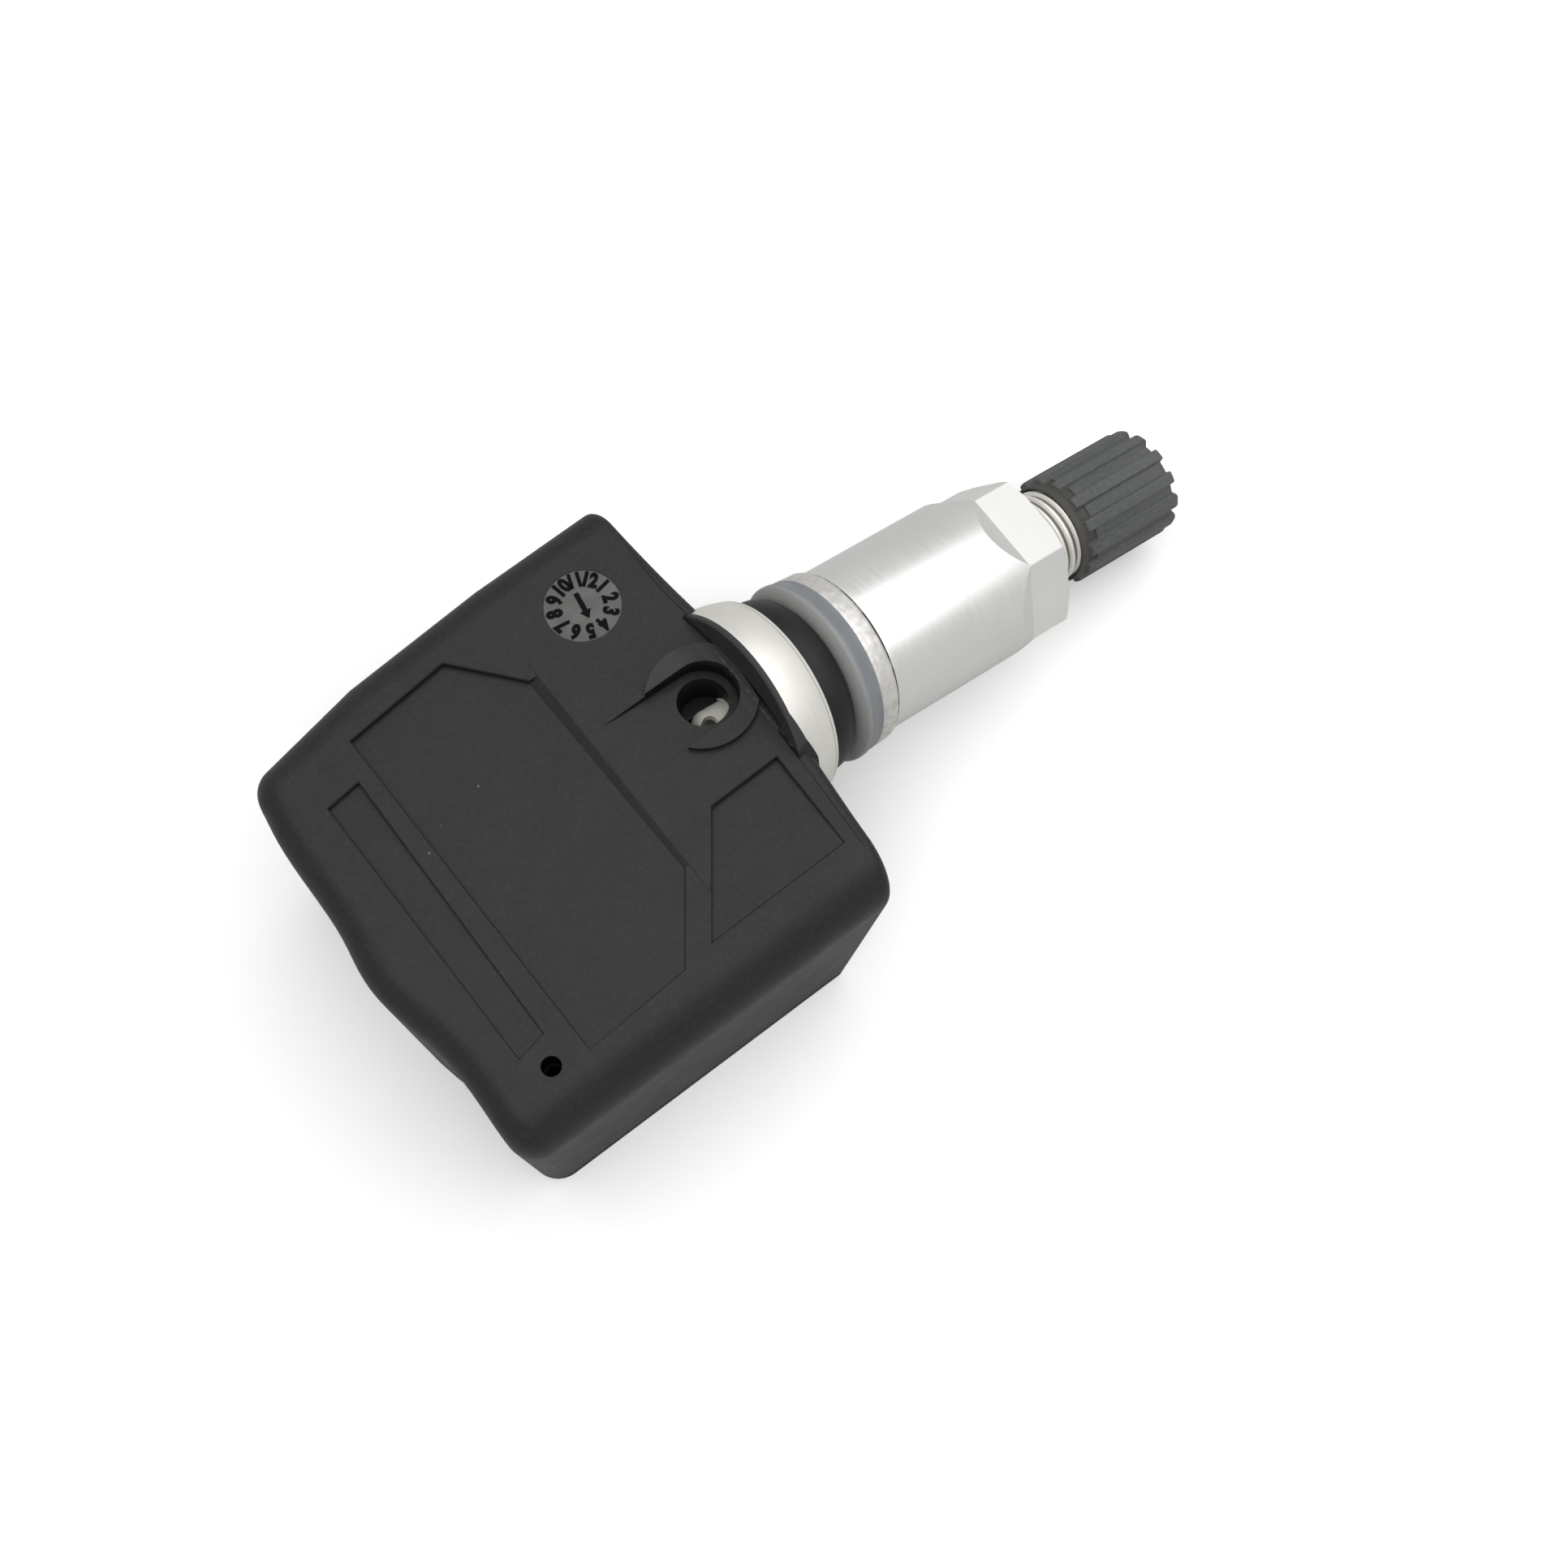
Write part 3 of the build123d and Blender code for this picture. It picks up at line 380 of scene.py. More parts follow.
# %% Mould a plastic
def moulded_plastic(
    name,
    dark,
    light,
    grain_gain,
    roughness,
    specular,
    speck_share,
    scuff_light,
    wear_and_painted_light=(),
    soil_and_shade=None,
    painted_shade_wells=(),
):
    """Satin moulded plastic with grain, scuffs and dust, and perhaps worn places and painted light, soil and
    painted shade, and painted shade round wells.
    """
    cloud_scale = 110.0
    grain_scale = 2600.0
    gloss_scale = 380.0
    pore_scale = 7000.0
    pore_depth = 0.010
    material, tree, shader = finish(name, 0.0, roughness, dark, specular)
    here = object_space(tree)
    cloud = blotches(tree, here, cloud_scale, 0.3, 0.72)
    grain = blotches(tree, here, grain_scale, 0.46, 0.7, 4.0, 0.7)
    grain_light = tuple(grain_gain * part for part in light)
    colour = blended(tree, grain, blended(tree, cloud, dark, light), grain_light)
    colour = scuffed(tree, colour, scuff_light)
    # real wear, painted light and painted shade, each picked by its place
    for place in wear_and_painted_light:
        colour = worn_at(tree, colour, *place)
    # dirt and painted shade in hollows
    if soil_and_shade is not None:
        colour = soil_hollows(tree, colour, *soil_and_shade)
    # painted shade round the holes
    for well in painted_shade_wells:
        colour = shade_well(tree, colour, *well)
    paint(tree, shader, dusted(tree, colour, speck_share))
    vary_gloss(tree, shader, noise(tree, here, gloss_scale, 4.0), roughness - 0.025, roughness + 0.035)
    relief(tree, shader, noise(tree, here, pore_scale, 2.0), pore_depth, 0.7)
    return material


def coat(material, *node_names):
    """Puts a finish on solids of the frame, whose meshes stay as they are."""
    for node_name in node_names:
        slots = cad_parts[node_name].data.materials
        slots.clear()
        slots.append(material)
    print(material.name, "on", ", ".join(node_names))


print("plastic helpers ready")

# %% Coat the case and its cover
case_top = 20.2
boss_top = case_top + 0.47
air_hole = (13.03, 0.98)
port = (-11.9, -14.7)
# this black is painted shade, for the holes and the trough's far wall
painted_black_shade = (0.001, 0.001, 0.001)

crease = (("X", 15.84, 15.97, 0.05), ("Y", -6.0, 3.5, 1.5), ("Z", case_top - 0.1, case_top + 0.6, 0.05))
# painted light: the boss land beside the trough is painted paler where it catches the light
lit_boss_land = (("Y", 3.9, 6.0, 0.5), ("X", 8.0, 13.0, 2.0), ("Z", case_top + 0.4, case_top + 0.6, 0.05))
# painted shade: the trough's far wall is painted black where shade falls
shaded_trough_wall = (("Y", 3.56, 3.67, 0.03), ("X", 6.5, 13.0, 0.5), ("Z", case_top - 1.2, boss_top, 0.02))
# painted light: the collar wall is painted paler for the light that falls on it
collar = (("X", 15.0, 18.0, 0.1), ("Z", case_top + 0.55, 24.0, 0.1))

case_plastic = moulded_plastic(
    "case_plastic",
    (0.0092, 0.0092, 0.0105),
    (0.0118, 0.0116, 0.0116),
    grain_gain=1.5,
    roughness=0.46,
    specular=0.31,
    speck_share=0.07,
    scuff_light=(0.026, 0.026, 0.026),
    wear_and_painted_light=(
        (crease, 0.47, 0.6, (0.085, 0.082, 0.079)),
        # painted light on the boss land
        (lit_boss_land, 0.0, 0.45, (0.028, 0.027, 0.026)),
        # painted black shade on the trough's far wall
        (shaded_trough_wall, 0.0, 0.2, painted_black_shade),
        # painted light on the collar
        (collar, 0.0, 0.3, (0.031, 0.031, 0.032)),
    ),
    # painted shade: black round the trough's end, inside the air hole and inside the port
    painted_shade_wells=(
        (air_hole, 2.58, 2.72, boss_top, air_hole[0], painted_black_shade),
        (air_hole, 0.0, 1.97, case_top - 1.0, 0.0, painted_black_shade),
        (port, 0.0, 0.77, case_top - 0.1, -20.0, painted_black_shade),
    ),
)
coat(case_plastic, "housing")
cover_plastic = moulded_plastic(
    "cover_plastic",
    (0.0100, 0.0100, 0.0110),
    (0.0130, 0.0130, 0.0135),
    grain_gain=1.5,
    roughness=0.48,
    specular=0.31,
    speck_share=0.05,
    scuff_light=(0.028, 0.028, 0.028),
)
coat(cover_plastic, "base_cover")

# %% [markdown]
# ## Turned metal
# The stem, the nut and the insert are turned on a lathe, so their marks run round the axis. A noise that
# is squeezed along the axis and long around it gives such rings; it changes the gloss more than the
# height. A second noise adds handling scratches. Dirt gathers as a dark line where two pieces meet, a thin
# grey line is painted round the ball near its rim, and painted shade darkens the roots of the thread. The
# flats of the nut and the tail of the stem are more matt than the rest.

# %% Turn a metal
def dirt_line(tree, colour, station, half_width, ring_colour):
    """Mixes a ragged dark line into a colour, round the valve at one station in millimetres."""
    soft = 0.03
    gap_scale = 900.0
    along = object_space(tree, along_valve=True)
    ring = band(tree, along, "X", station - half_width, station + half_width, soft)
    broken = blotches(tree, object_space(tree), gap_scale, 0.3, 0.45, 4.0, 0.7)
    return blended(tree, product(tree, ring, broken), colour, ring_colour)


def turned_metal(name, colour, dull, roughness, ring_size, dark_ring=None, satin=None, soil_and_shade=None):
    """Metal with rings round the valve, a ring size in millimetres apart, and a few scratches."""
    ring_scale = (1.0 / (ring_size * MM), 60.0, 60.0)
    ring_depth = 0.004
    blotch_scale = 260.0
    scratch_scale = (2600.0, 300.0, 500.0)
    scratch_shade = tuple(0.45 * part for part in dull)
    material, tree, shader = finish(name, 1.0, roughness, colour)
    rings = noise(tree, object_space(tree, ring_scale, along_valve=True), 1.0, 3.0, 0.6)
    blotch = noise(tree, object_space(tree), blotch_scale, 4.0)
    scratch_space = object_space(tree, scratch_scale, along_valve=True)
    scratches = blotches(tree, scratch_space, 1.0, 0.66, 0.74, 5.0, 0.75)
    marks = product(tree, scratches, stepped(tree, blotch, 0.52, 0.66))
    tone = blended(tree, stepped(tree, blotch, 0.3, 0.7), colour, dull)
    tone = blended(tree, marks, tone, scratch_shade)
    if dark_ring is not None:
        tone = dirt_line(tree, tone, *dark_ring)
    # dirt and painted shade in hollows, by station and radius
    if soil_and_shade is not None:
        tone = soil_hollows(tree, tone, *soil_and_shade)
    paint(tree, shader, tone)
    dullness = stepped(tree, rings, 0.3, 0.7, roughness - 0.05, roughness + 0.07)
    if satin is not None:
        low, high, satin_roughness = satin
        stretch = band(tree, object_space(tree, along_valve=True), "X", low, high, 0.1)
        unpolished = stepped(tree, stretch, 0.0, 1.0, 0.0, satin_roughness)
        dullness = combined(tree, "MAXIMUM", dullness, unpolished)
    tree.links.new(dullness, shader.inputs["Roughness"])
    relief(tree, shader, rings, ring_depth, 0.3)
    return material


print("metal helpers ready")

# %% Make the turned metals
grime = (0.05, 0.048, 0.045)
nut_metal = turned_metal(
    "nut_metal",
    (0.785, 0.785, 0.770),
    (0.750, 0.750, 0.735),
    roughness=0.34,
    ring_size=0.16,
    dark_ring=(0.0, 0.07, grime),
    satin=(14.9, 20.0, 0.58),
)
stem_metal = turned_metal(
    "stem_metal",
    (0.82, 0.805, 0.765),
    (0.76, 0.745, 0.705),
    roughness=0.52,
    ring_size=0.14,
    # a thin grey line painted round the ball near its rim
    dark_ring=(-7.15, 0.02, (0.40, 0.39, 0.37)),
    satin=(-15.0, -10.6, 0.85),
    # painted shade: the roots of the thread are painted darker where shade falls
    soil_and_shade=(15.6, 23.0, 3.62, (0.34, 0.32, 0.29)),
)
core_brass = turned_metal("core_brass", (0.78, 0.58, 0.27), (0.66, 0.47, 0.22), 0.28, 0.08)
spring_steel = turned_metal("spring_steel", (0.62, 0.62, 0.61), (0.50, 0.50, 0.49), 0.30, 0.08)
print("metals:", nut_metal.name, stem_metal.name, spring_steel.name)
coat(core_brass, "core_body", "core_pin")
coat(spring_steel, "core_spring")

# %% [markdown]
# ## Finishes inside the case
# The board and what it carries are closed in, but each still gets its own finish, in case the cover is
# hidden: green solder mask over glass weave, a drawn steel cell, sintered ferrite, copper wire, ceramic
# and soft seals. They need no more than clouds, a grain and, on the board, two crossed waves.

# %% Helpers for inner finishes
def woven_board(name, mask, weave):
    """Solder mask over woven glass: two crossed waves show faintly through the green."""
    material, tree, shader = finish(name, 0.0, 0.32, mask)
    weave_scale = 900.0
    threads = []
    for direction in ("X", "Y"):
        wave = add_node(tree, "TexWave", {"bands_direction": direction}, Scale=weave_scale, Distortion=0.3)
        tree.links.new(object_space(tree), wave.inputs["Vector"])
        threads.append(wave.outputs["Fac"])
    cloth = product(tree, *threads)
    paint(tree, shader, blended(tree, cloth, mask, weave))
    relief(tree, shader, cloth, 0.008, 0.3)
    return material


def grained(name, metallic, roughness, dark, light, grain_scale, depth, specular=0.5):
    """A plain finish with cloudy colour and a fine grain of a depth in millimetres."""
    cloud_scale = 0.12 * grain_scale
    material, tree, shader = finish(name, metallic, roughness, dark, specular)
    here = object_space(tree)
    cloud = blotches(tree, here, cloud_scale, 0.35, 0.68)
    paint(tree, shader, blended(tree, cloud, dark, light))
    grain = noise(tree, here, grain_scale)
    vary_gloss(tree, shader, grain, roughness - 0.06, roughness + 0.08)
    relief(tree, shader, grain, depth, 0.5)
    return material


def soft_rubber(name, dark, light, roughness, specular):
    """Black rubber with a faint bloom."""
    bloom_scale = 420.0
    pore_scale = 5200.0
    material, tree, shader = finish(name, 0.0, roughness, dark, specular)
    here = object_space(tree)
    bloom = noise(tree, here, bloom_scale, 5.0, 0.65)
    paint(tree, shader, blended(tree, stepped(tree, bloom, 0.4, 0.75), dark, light))
    vary_gloss(tree, shader, bloom, roughness - 0.05, roughness + 0.08)
    relief(tree, shader, noise(tree, here, pore_scale, 2.0), 0.008, 0.4)
    return material


print("inner finish helpers ready")

# %% Coat the inner solids
board = woven_board("board", (0.014, 0.085, 0.035), (0.022, 0.12, 0.05))
cell_steel = grained("cell_steel", 1.0, 0.28, (0.62, 0.62, 0.60), (0.72, 0.72, 0.70), 2600.0, 0.004)
tab_nickel = grained("tab_nickel", 1.0, 0.30, (0.62, 0.60, 0.55), (0.72, 0.70, 0.65), 3000.0, 0.004)
chip_plastic = grained("chip_plastic", 0.0, 0.55, (0.016, 0.016, 0.017), (0.026, 0.026, 0.027), 5200.0, 0.010)
ferrite = grained("ferrite", 0.0, 0.6, (0.022, 0.022, 0.024), (0.045, 0.044, 0.045), 4200.0, 0.010)
copper = grained("copper", 1.0, 0.32, (0.55, 0.22, 0.10), (0.72, 0.34, 0.16), 5200.0, 0.020)
crystal_can = grained("crystal_can", 1.0, 0.26, (0.68, 0.68, 0.66), (0.76, 0.76, 0.74), 2600.0, 0.003)
ceramic = grained("ceramic", 0.0, 0.5, (0.26, 0.17, 0.09), (0.36, 0.25, 0.14), 3600.0, 0.008)
seal_rubber = soft_rubber("seal_rubber", (0.008, 0.008, 0.008), (0.014, 0.014, 0.014), 0.6, 0.1)
coat(board, "circuit_board")
coat(cell_steel, "battery_cell")
coat(tab_nickel, "tab_positive", "tab_negative")
coat(chip_plastic, "sensor_chip")
coat(ferrite, "ferrite_core")
coat(copper, "coil_winding")
coat(crystal_can, "crystal")
coat(ceramic, "capacitor_1", "capacitor_2", "capacitor_3")
coat(seal_rubber, "port_seal", "core_gasket", "core_seal", "cap_seal")

# %% [markdown]
# ## Turning a piece
# A turned piece is a short chain of corners, station and radius, that is rounded at its corners and spun
# once round the axis. It could also be a Screw modifier on a curve, but the bevel operator rounds a corner
# of a bare chain of edges just as it rounds the corner of a solid, so the chain stays short. Spinning can
# turn the skin inside out, so the doubles at the seam are merged and the normals are worked out afresh.

# %% Lathe helpers
def chain_of(bm, corners, closed):
    """Corner points (station, radius) joined by edges, in the upright plane through the axis."""
    verts = [bm.verts.new((station * MM, 0.0, radius * MM)) for station, radius in corners]
    followers = verts[1:] + verts[:1] if closed else verts[1:]
    for vert, follower in zip(verts, followers):
        bm.edges.new((vert, follower))
    return verts


def round_corners(bm, verts, picks, radius, segments):
    """Rounds the picked corners of a chain."""
    bmesh.ops.bevel(
        bm,
        geom=[verts[pick] for pick in picks],
        offset=radius * MM,
        offset_type="OFFSET",
        segments=segments,
        profile=0.5,
        affect="VERTICES",
        material=-1,
    )


def spin_on_valve(bm, geom, steps, turns=1, advance=0.0):
    """Spins geometry round the valve axis; an advance in millimetres a turn winds it into a helix."""
    bmesh.ops.spin(
        bm,
        geom=geom,
        cent=(0.0, 0.0, 0.0),
        axis=(1.0, 0.0, 0.0),
        dvec=(advance * MM / steps, 0.0, 0.0),
        angle=2.0 * math.pi * turns,
        steps=steps * turns,
        use_merge=advance == 0.0,
        use_duplicate=False,
    )


def spin_round(bm, steps):
    """Spins the whole chain once round the valve axis and closes the skin."""
    spin_on_valve(bm, bm.verts[:] + bm.edges[:], steps)
    bmesh.ops.remove_doubles(bm, verts=bm.verts, dist=1e-7)
    bmesh.ops.dissolve_degenerate(bm, edges=bm.edges, dist=1e-8)
    bmesh.ops.recalc_face_normals(bm, faces=bm.faces)


def turned(corners, roundings, steps):
    """A new skin: a closed chain of corners, with roundings (picks, radius, segments), spun round."""
    bm = bmesh.new()
    verts = chain_of(bm, corners, closed=True)
    for picks, radius, segments in roundings:
        round_corners(bm, verts, picks, radius, segments)
    spin_round(bm, steps)
    return bm


print("lathe helpers ready")

# %% Settle a piece
def settle(bm, name, body, material, nodes=(), sharp_degrees=32.0, lay_on_valve=True):
    """Makes the finished mesh an object that rides a body and stands for solids of the frame."""
    if lay_on_valve:
        bmesh.ops.transform(bm, matrix=valve_frame, verts=bm.verts)
    mesh = bpy.data.meshes.new(name)
    bm.to_mesh(mesh)
    bm.free()
    mesh.materials.append(material)
    mesh.shade_smooth()
    mesh.set_sharp_from_angle(angle=math.radians(sharp_degrees))
    piece = bpy.data.objects.new(name, mesh)
    scene.collection.objects.link(piece)
    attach(piece, body)
    if nodes:
        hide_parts(*nodes)
    print(name, len(mesh.vertices), "points", len(mesh.polygons), "faces")
    return piece


print("settle helper ready")

# %% [markdown]
# ## Grommet
# The grommet is a fat ring of black rubber with a bulging side, squeezed between the flange and the nylon
# washer. A torus would be too even: its side leans, so it is lathe work with rounded corners.

# %% Turn the grommet
bore = 3.925
grommet_start = -6.8
nylon_start = -3.7
ring_steps = 144

grommet_rubber = soft_rubber("grommet_rubber", (0.006, 0.006, 0.006), (0.012, 0.0116, 0.0112), 0.42, 0.3)
corners = [
    (grommet_start, bore),
    (grommet_start, 6.95),
    (-6.3, 7.28),
    (-5.4, 7.33),
    (-4.4, 7.12),
    (nylon_start, 6.3),
    (nylon_start, bore),
]
bm = turned(corners, [((1, 2, 3, 4, 5), 0.3, 4)], ring_steps)
settle(bm, "grommet_ring", "sensor", grommet_rubber, ["grommet"])

# %% [markdown]
# ## Nylon washer
# Next to the grommet lies a greyish washer of nylon, with a thin lip and a shallow channel before it
# meets the metal washer. Nylon lets light in a little way, which the shader's subsurface does, and a band
# of stations paints the lip paler, as painted light where the lip faces the light.

# %% Make the nylon
def milky_nylon(name, pale, deep, lip_painted_light, lip_end):
    """Translucent greyish nylon with painted light that makes its thin lip paler, up to a station in
    millimetres.
    """
    lip_start = -9.0
    lip_fade = 0.5
    haze_scale = 300.0
    pore_scale = 3800.0
    material, tree, shader = finish(name, 0.0, 0.34, pale, specular=0.35)
    shader.inputs["Subsurface Weight"].default_value = 0.5
    shader.inputs["Subsurface Radius"].default_value = (0.0007, 0.0009, 0.0011)
    shader.inputs["Subsurface Scale"].default_value = 1.0
    here = object_space(tree)
    haze = noise(tree, here, haze_scale, 4.0)
    body = blended(tree, stepped(tree, haze, 0.35, 0.7), pale, deep)
    lit_lip_band = band(tree, object_space(tree, along_valve=True), "X", lip_start, lip_end, lip_fade)
    # painted light: the lip is painted paler
    paint(tree, shader, blended(tree, lit_lip_band, body, lip_painted_light))
    vary_gloss(tree, shader, haze, 0.36, 0.48)
    relief(tree, shader, noise(tree, here, pore_scale, 2.0), 0.006, 0.4)
    return material


# the last colour but one is painted light on the lip
nylon = milky_nylon("nylon", (0.222, 0.233, 0.242), (0.192, 0.204, 0.216), (0.345, 0.345, 0.335), -3.35)
print("finish:", nylon.name)

# %% Turn the nylon washer
washer_start = -1.7
corners = [
    (nylon_start, bore),
    (nylon_start, 6.45),
    (-3.5, 7.0),
    (-3.2, 7.5),
    (-2.75, 7.5),
    (-2.2, 7.34),
    (-1.8, 7.36),
    (washer_start, 7.30),
    (washer_start, bore),
]
roundings = [((2,), 0.2, 4), ((3, 4), 0.18, 5), ((5,), 0.3, 5), ((6,), 0.05, 3)]
bm = turned(corners, roundings, ring_steps)
settle(bm, "nylon_washer", "sensor", nylon, ["plastic_washer"])

# %% [markdown]
# ## Metal washer
# The thin washer is stamped from sheet, so its rim is torn and pitted. The pits are coarse noise in colour
# and bump. After the spin the rim is also pushed in and out by a few hundredths of a millimetre, because
# a ragged edge shows in the outline, where a bump can't reach.

# %% Make the stamped metal
def stamped_metal(name, colour, pitted):
    """Sheared sheet metal: a torn, pitted surface with dirt along the nut."""
    tear_scale = 1700.0
    material, tree, shader = finish(name, 1.0, 0.40, colour)
    torn = noise(tree, object_space(tree), tear_scale, 4.0)
    tone = blended(tree, stepped(tree, torn, 0.32, 0.6), pitted, colour)
    paint(tree, shader, dirt_line(tree, tone, -0.03, 0.10, grime))
    vary_gloss(tree, shader, torn, 0.62, 0.46)
    relief(tree, shader, torn, 0.020, 0.5)
    return material


washer_metal = stamped_metal("washer_metal", (0.71, 0.70, 0.68), (0.59, 0.58, 0.56))
print("finish:", washer_metal.name)

# %% Turn the metal washer and tear its rim
washer_steps = 220
rim_start = 7.05 * MM
tear_scale = 1500.0
tear_share = 0.0055

corners = [
    (washer_start, bore),
    (washer_start, 7.2),
    (-1.55, 7.3),
    (-0.9, 7.3),
    (-0.25, 7.26),
    (0.0, 7.1),
    (0.0, bore),
]
bm = bmesh.new()
chain_of(bm, corners, closed=True)
rim_edges = bm.edges[:][2:5]
bmesh.ops.subdivide_edges(bm, edges=rim_edges, cuts=3)
spin_round(bm, washer_steps)
for vert in bm.verts:
    if math.hypot(vert.co.y, vert.co.z) > rim_start:
        tear = point_noise.fractal(vert.co * tear_scale, 1.0, 2.0, 4)
        vert.co.y *= 1.0 + tear_share * tear
        vert.co.z *= 1.0 + tear_share * tear
settle(bm, "stamped_washer", "washer", washer_metal, ["metal_washer"], sharp_degrees=50.0)

# %% [markdown]
# ## Nut
# A long sleeve with a hexagon at its outer end. Each flat runs out into the round sleeve on a slope, which
# leaves the curved shoulder seen on the real nut. An extruded hexagon would need that curve drawn by hand,
# so the sleeve is lathe work and six wedges are cut from it by the boolean modifier, as a mill would do.

# %% Cutting helpers
def verts_of(geom):
    """The vertices among what an operator hands back."""
    return [item for item in geom if isinstance(item, bmesh.types.BMVert)]


def carved(bm, cutter):
    """The closed skin bm with the closed skin cutter taken away by a boolean modifier."""
    blanks = []
    for skin in (bm, cutter):
        mesh = bpy.data.meshes.new("blank")
        skin.to_mesh(mesh)
        skin.free()
        blank = bpy.data.objects.new("blank", mesh)
        scene.collection.objects.link(blank)
        blanks.append(blank)
    cut = blanks[0].modifiers.new("cut", "BOOLEAN")
    cut.operation = "DIFFERENCE"
    cut.solver = "EXACT"
    cut.use_self = True
    cut.object = blanks[1]
    bpy.context.view_layer.update()
    ready = blanks[0].evaluated_get(bpy.context.evaluated_depsgraph_get())
    result = bpy.data.meshes.new_from_object(ready)
    made = bmesh.new()
    made.from_mesh(result)
    bmesh.ops.remove_doubles(made, verts=made.verts, dist=1e-6)
    bpy.data.meshes.remove(result)
    for blank in blanks:
        mesh = blank.data
        bpy.data.objects.remove(blank)
        bpy.data.meshes.remove(mesh)
    return made


print("cutting helpers ready")

# %% Turn the nut
nut_length = 18.8
nut_radius = 6.9
nut_steps = 240
corners = [
    (0.0, bore),
    (0.0, nut_radius - 0.3),
    (0.22, nut_radius),
    (nut_length - 0.4, nut_radius),
    (nut_length, nut_radius - 0.7),
    (nut_length, bore + 0.45),
    (nut_length - 0.45, bore),
]
sleeve = turned(corners, [((2,), 0.12, 3)], nut_steps)
print("sleeve of", len(sleeve.faces), "faces")

# %% Mill its flats
flat_distance = 6.0
flat_start = 14.9
flat_slope = 0.5
first_flat = 32.6
flats = 6
reach = 3.0
past_end = nut_length + 1.0
wedge_top = flat_distance + 2.0
wedge_half_width = 7.0

wedge = [
    (flat_start - reach, flat_distance + reach * flat_slope),
    (flat_start, flat_distance),
    (past_end, flat_distance),
    (past_end, wedge_top),
    (flat_start - reach, wedge_top),
]
cutters = bmesh.new()
for flat in range(flats):
    near_side = [cutters.verts.new((s * MM, -wedge_half_width * MM, r * MM)) for s, r in wedge]
    grown = bmesh.ops.extrude_face_region(cutters, geom=[cutters.faces.new(near_side)])["geom"]
    far_side = verts_of(grown)
    bmesh.ops.translate(cutters, verts=far_side, vec=(0.0, 2.0 * wedge_half_width * MM, 0.0))
    turn = Matrix.Rotation(math.radians(first_flat + flat * 360.0 / flats - 90.0), 3, "X")
    bmesh.ops.rotate(cutters, verts=near_side + far_side, cent=(0, 0, 0), matrix=turn)
bmesh.ops.recalc_face_normals(cutters, faces=cutters.faces)
bm = carved(sleeve, cutters)
settle(bm, "hexagon_nut", "nut", nut_metal, ["valve_nut"], sharp_degrees=14.0)

# %% [markdown]
# ## Stem
# The stem is one turned piece: a ball in the collar of the case, a shank, a tail inside the case with an
# air outlet, and a threaded end under the nut and cap. The body is lathe work at the thread's root
# radius. The ball's skin is worked out as a circle, and the outlet is drilled by the boolean modifier.

# %% Draw the stem's outline
ball_station = -9.88
ball_radius = 8.6
ball_back = 0.52
ball_run = 3.45
ball_steps = 24
flange_back = -9.7
shank_radius = 3.6
stem_end = 29.6
thread_root = 3.44
thread_crest = 3.875
thread_start = 15.5
mouth_radius = 2.65
insert_radius = 2.3
air_radius = 1.2
tail_radius = 1.7
nose_length = 0.9
tail_end = (11.60 - valve_x) / math.cos(valve_dip)
tail_step = (14.65 - valve_x) / math.cos(valve_dip)

outline = [(flange_back, shank_radius), (flange_back, 4.6)]
for step in range(ball_steps + 1):
    station = ball_station - ball_back + ball_run * step / ball_steps
    outline.append((station, math.sqrt(ball_radius**2 - (station - ball_station) ** 2)))
outline += [
    (grommet_start - 0.03, 8.03),
    (grommet_start, 7.95),
    (grommet_start, thread_crest),
    (thread_start - 0.4, thread_crest),
    (thread_start, thread_root),
    (stem_end - 0.1, thread_root),
    (stem_end, thread_root - 0.12),
    (stem_end, mouth_radius + 0.1),
    (stem_end - 0.15, mouth_radius),
    (22.5, mouth_radius),
    (21.7, insert_radius),
    (9.0, insert_radius),
    (8.0, air_radius),
    (tail_end + nose_length, air_radius),
    (tail_end + nose_length, 0.0),
]
tail = [
    (tail_end, 0.0),
    (tail_end + 0.1, 0.75),
    (tail_end + 0.35, 1.28),
    (tail_end + nose_length, tail_radius),
    (tail_step, tail_radius),
    (tail_step, shank_radius),
]
print("stem from", round(tail_end, 2), "to", stem_end, "mm along the valve")

# %% Turn the stem and drill its outlet
outlet_station = (12.43 - valve_x) / math.cos(valve_dip)
outlet_radius = 0.6
drill_length = 3.0
stem_steps = 160

bm = bmesh.new()
outline_verts = chain_of(bm, outline, closed=False)
tail_verts = chain_of(bm, tail, closed=False)
bm.edges.new((tail_verts[-1], outline_verts[0]))
round_corners(bm, tail_verts, (1, 2, 3), 0.25, 3)
spin_round(bm, stem_steps)
drill = bmesh.new()
bmesh.ops.create_cone(
    drill,
    cap_ends=True,
    segments=32,
    radius1=outlet_radius * MM,
    radius2=outlet_radius * MM,
    depth=drill_length * MM,
)
bmesh.ops.translate(drill, verts=drill.verts, vec=(outlet_station * MM, 0.0, drill_length / 2.0 * MM))
bm = carved(bm, drill)
settle(bm, "turned_stem", "sensor", stem_metal, ["valve_stem"])

# %% [markdown]
# ## Thread
# A valve thread has 32 turns an inch. Its ridge is one small face that a spin with a step along the axis
# winds round the stem. At the end of the stem the points that stand too high are pulled in to a chamfer,
# so that a nut finds its way on.

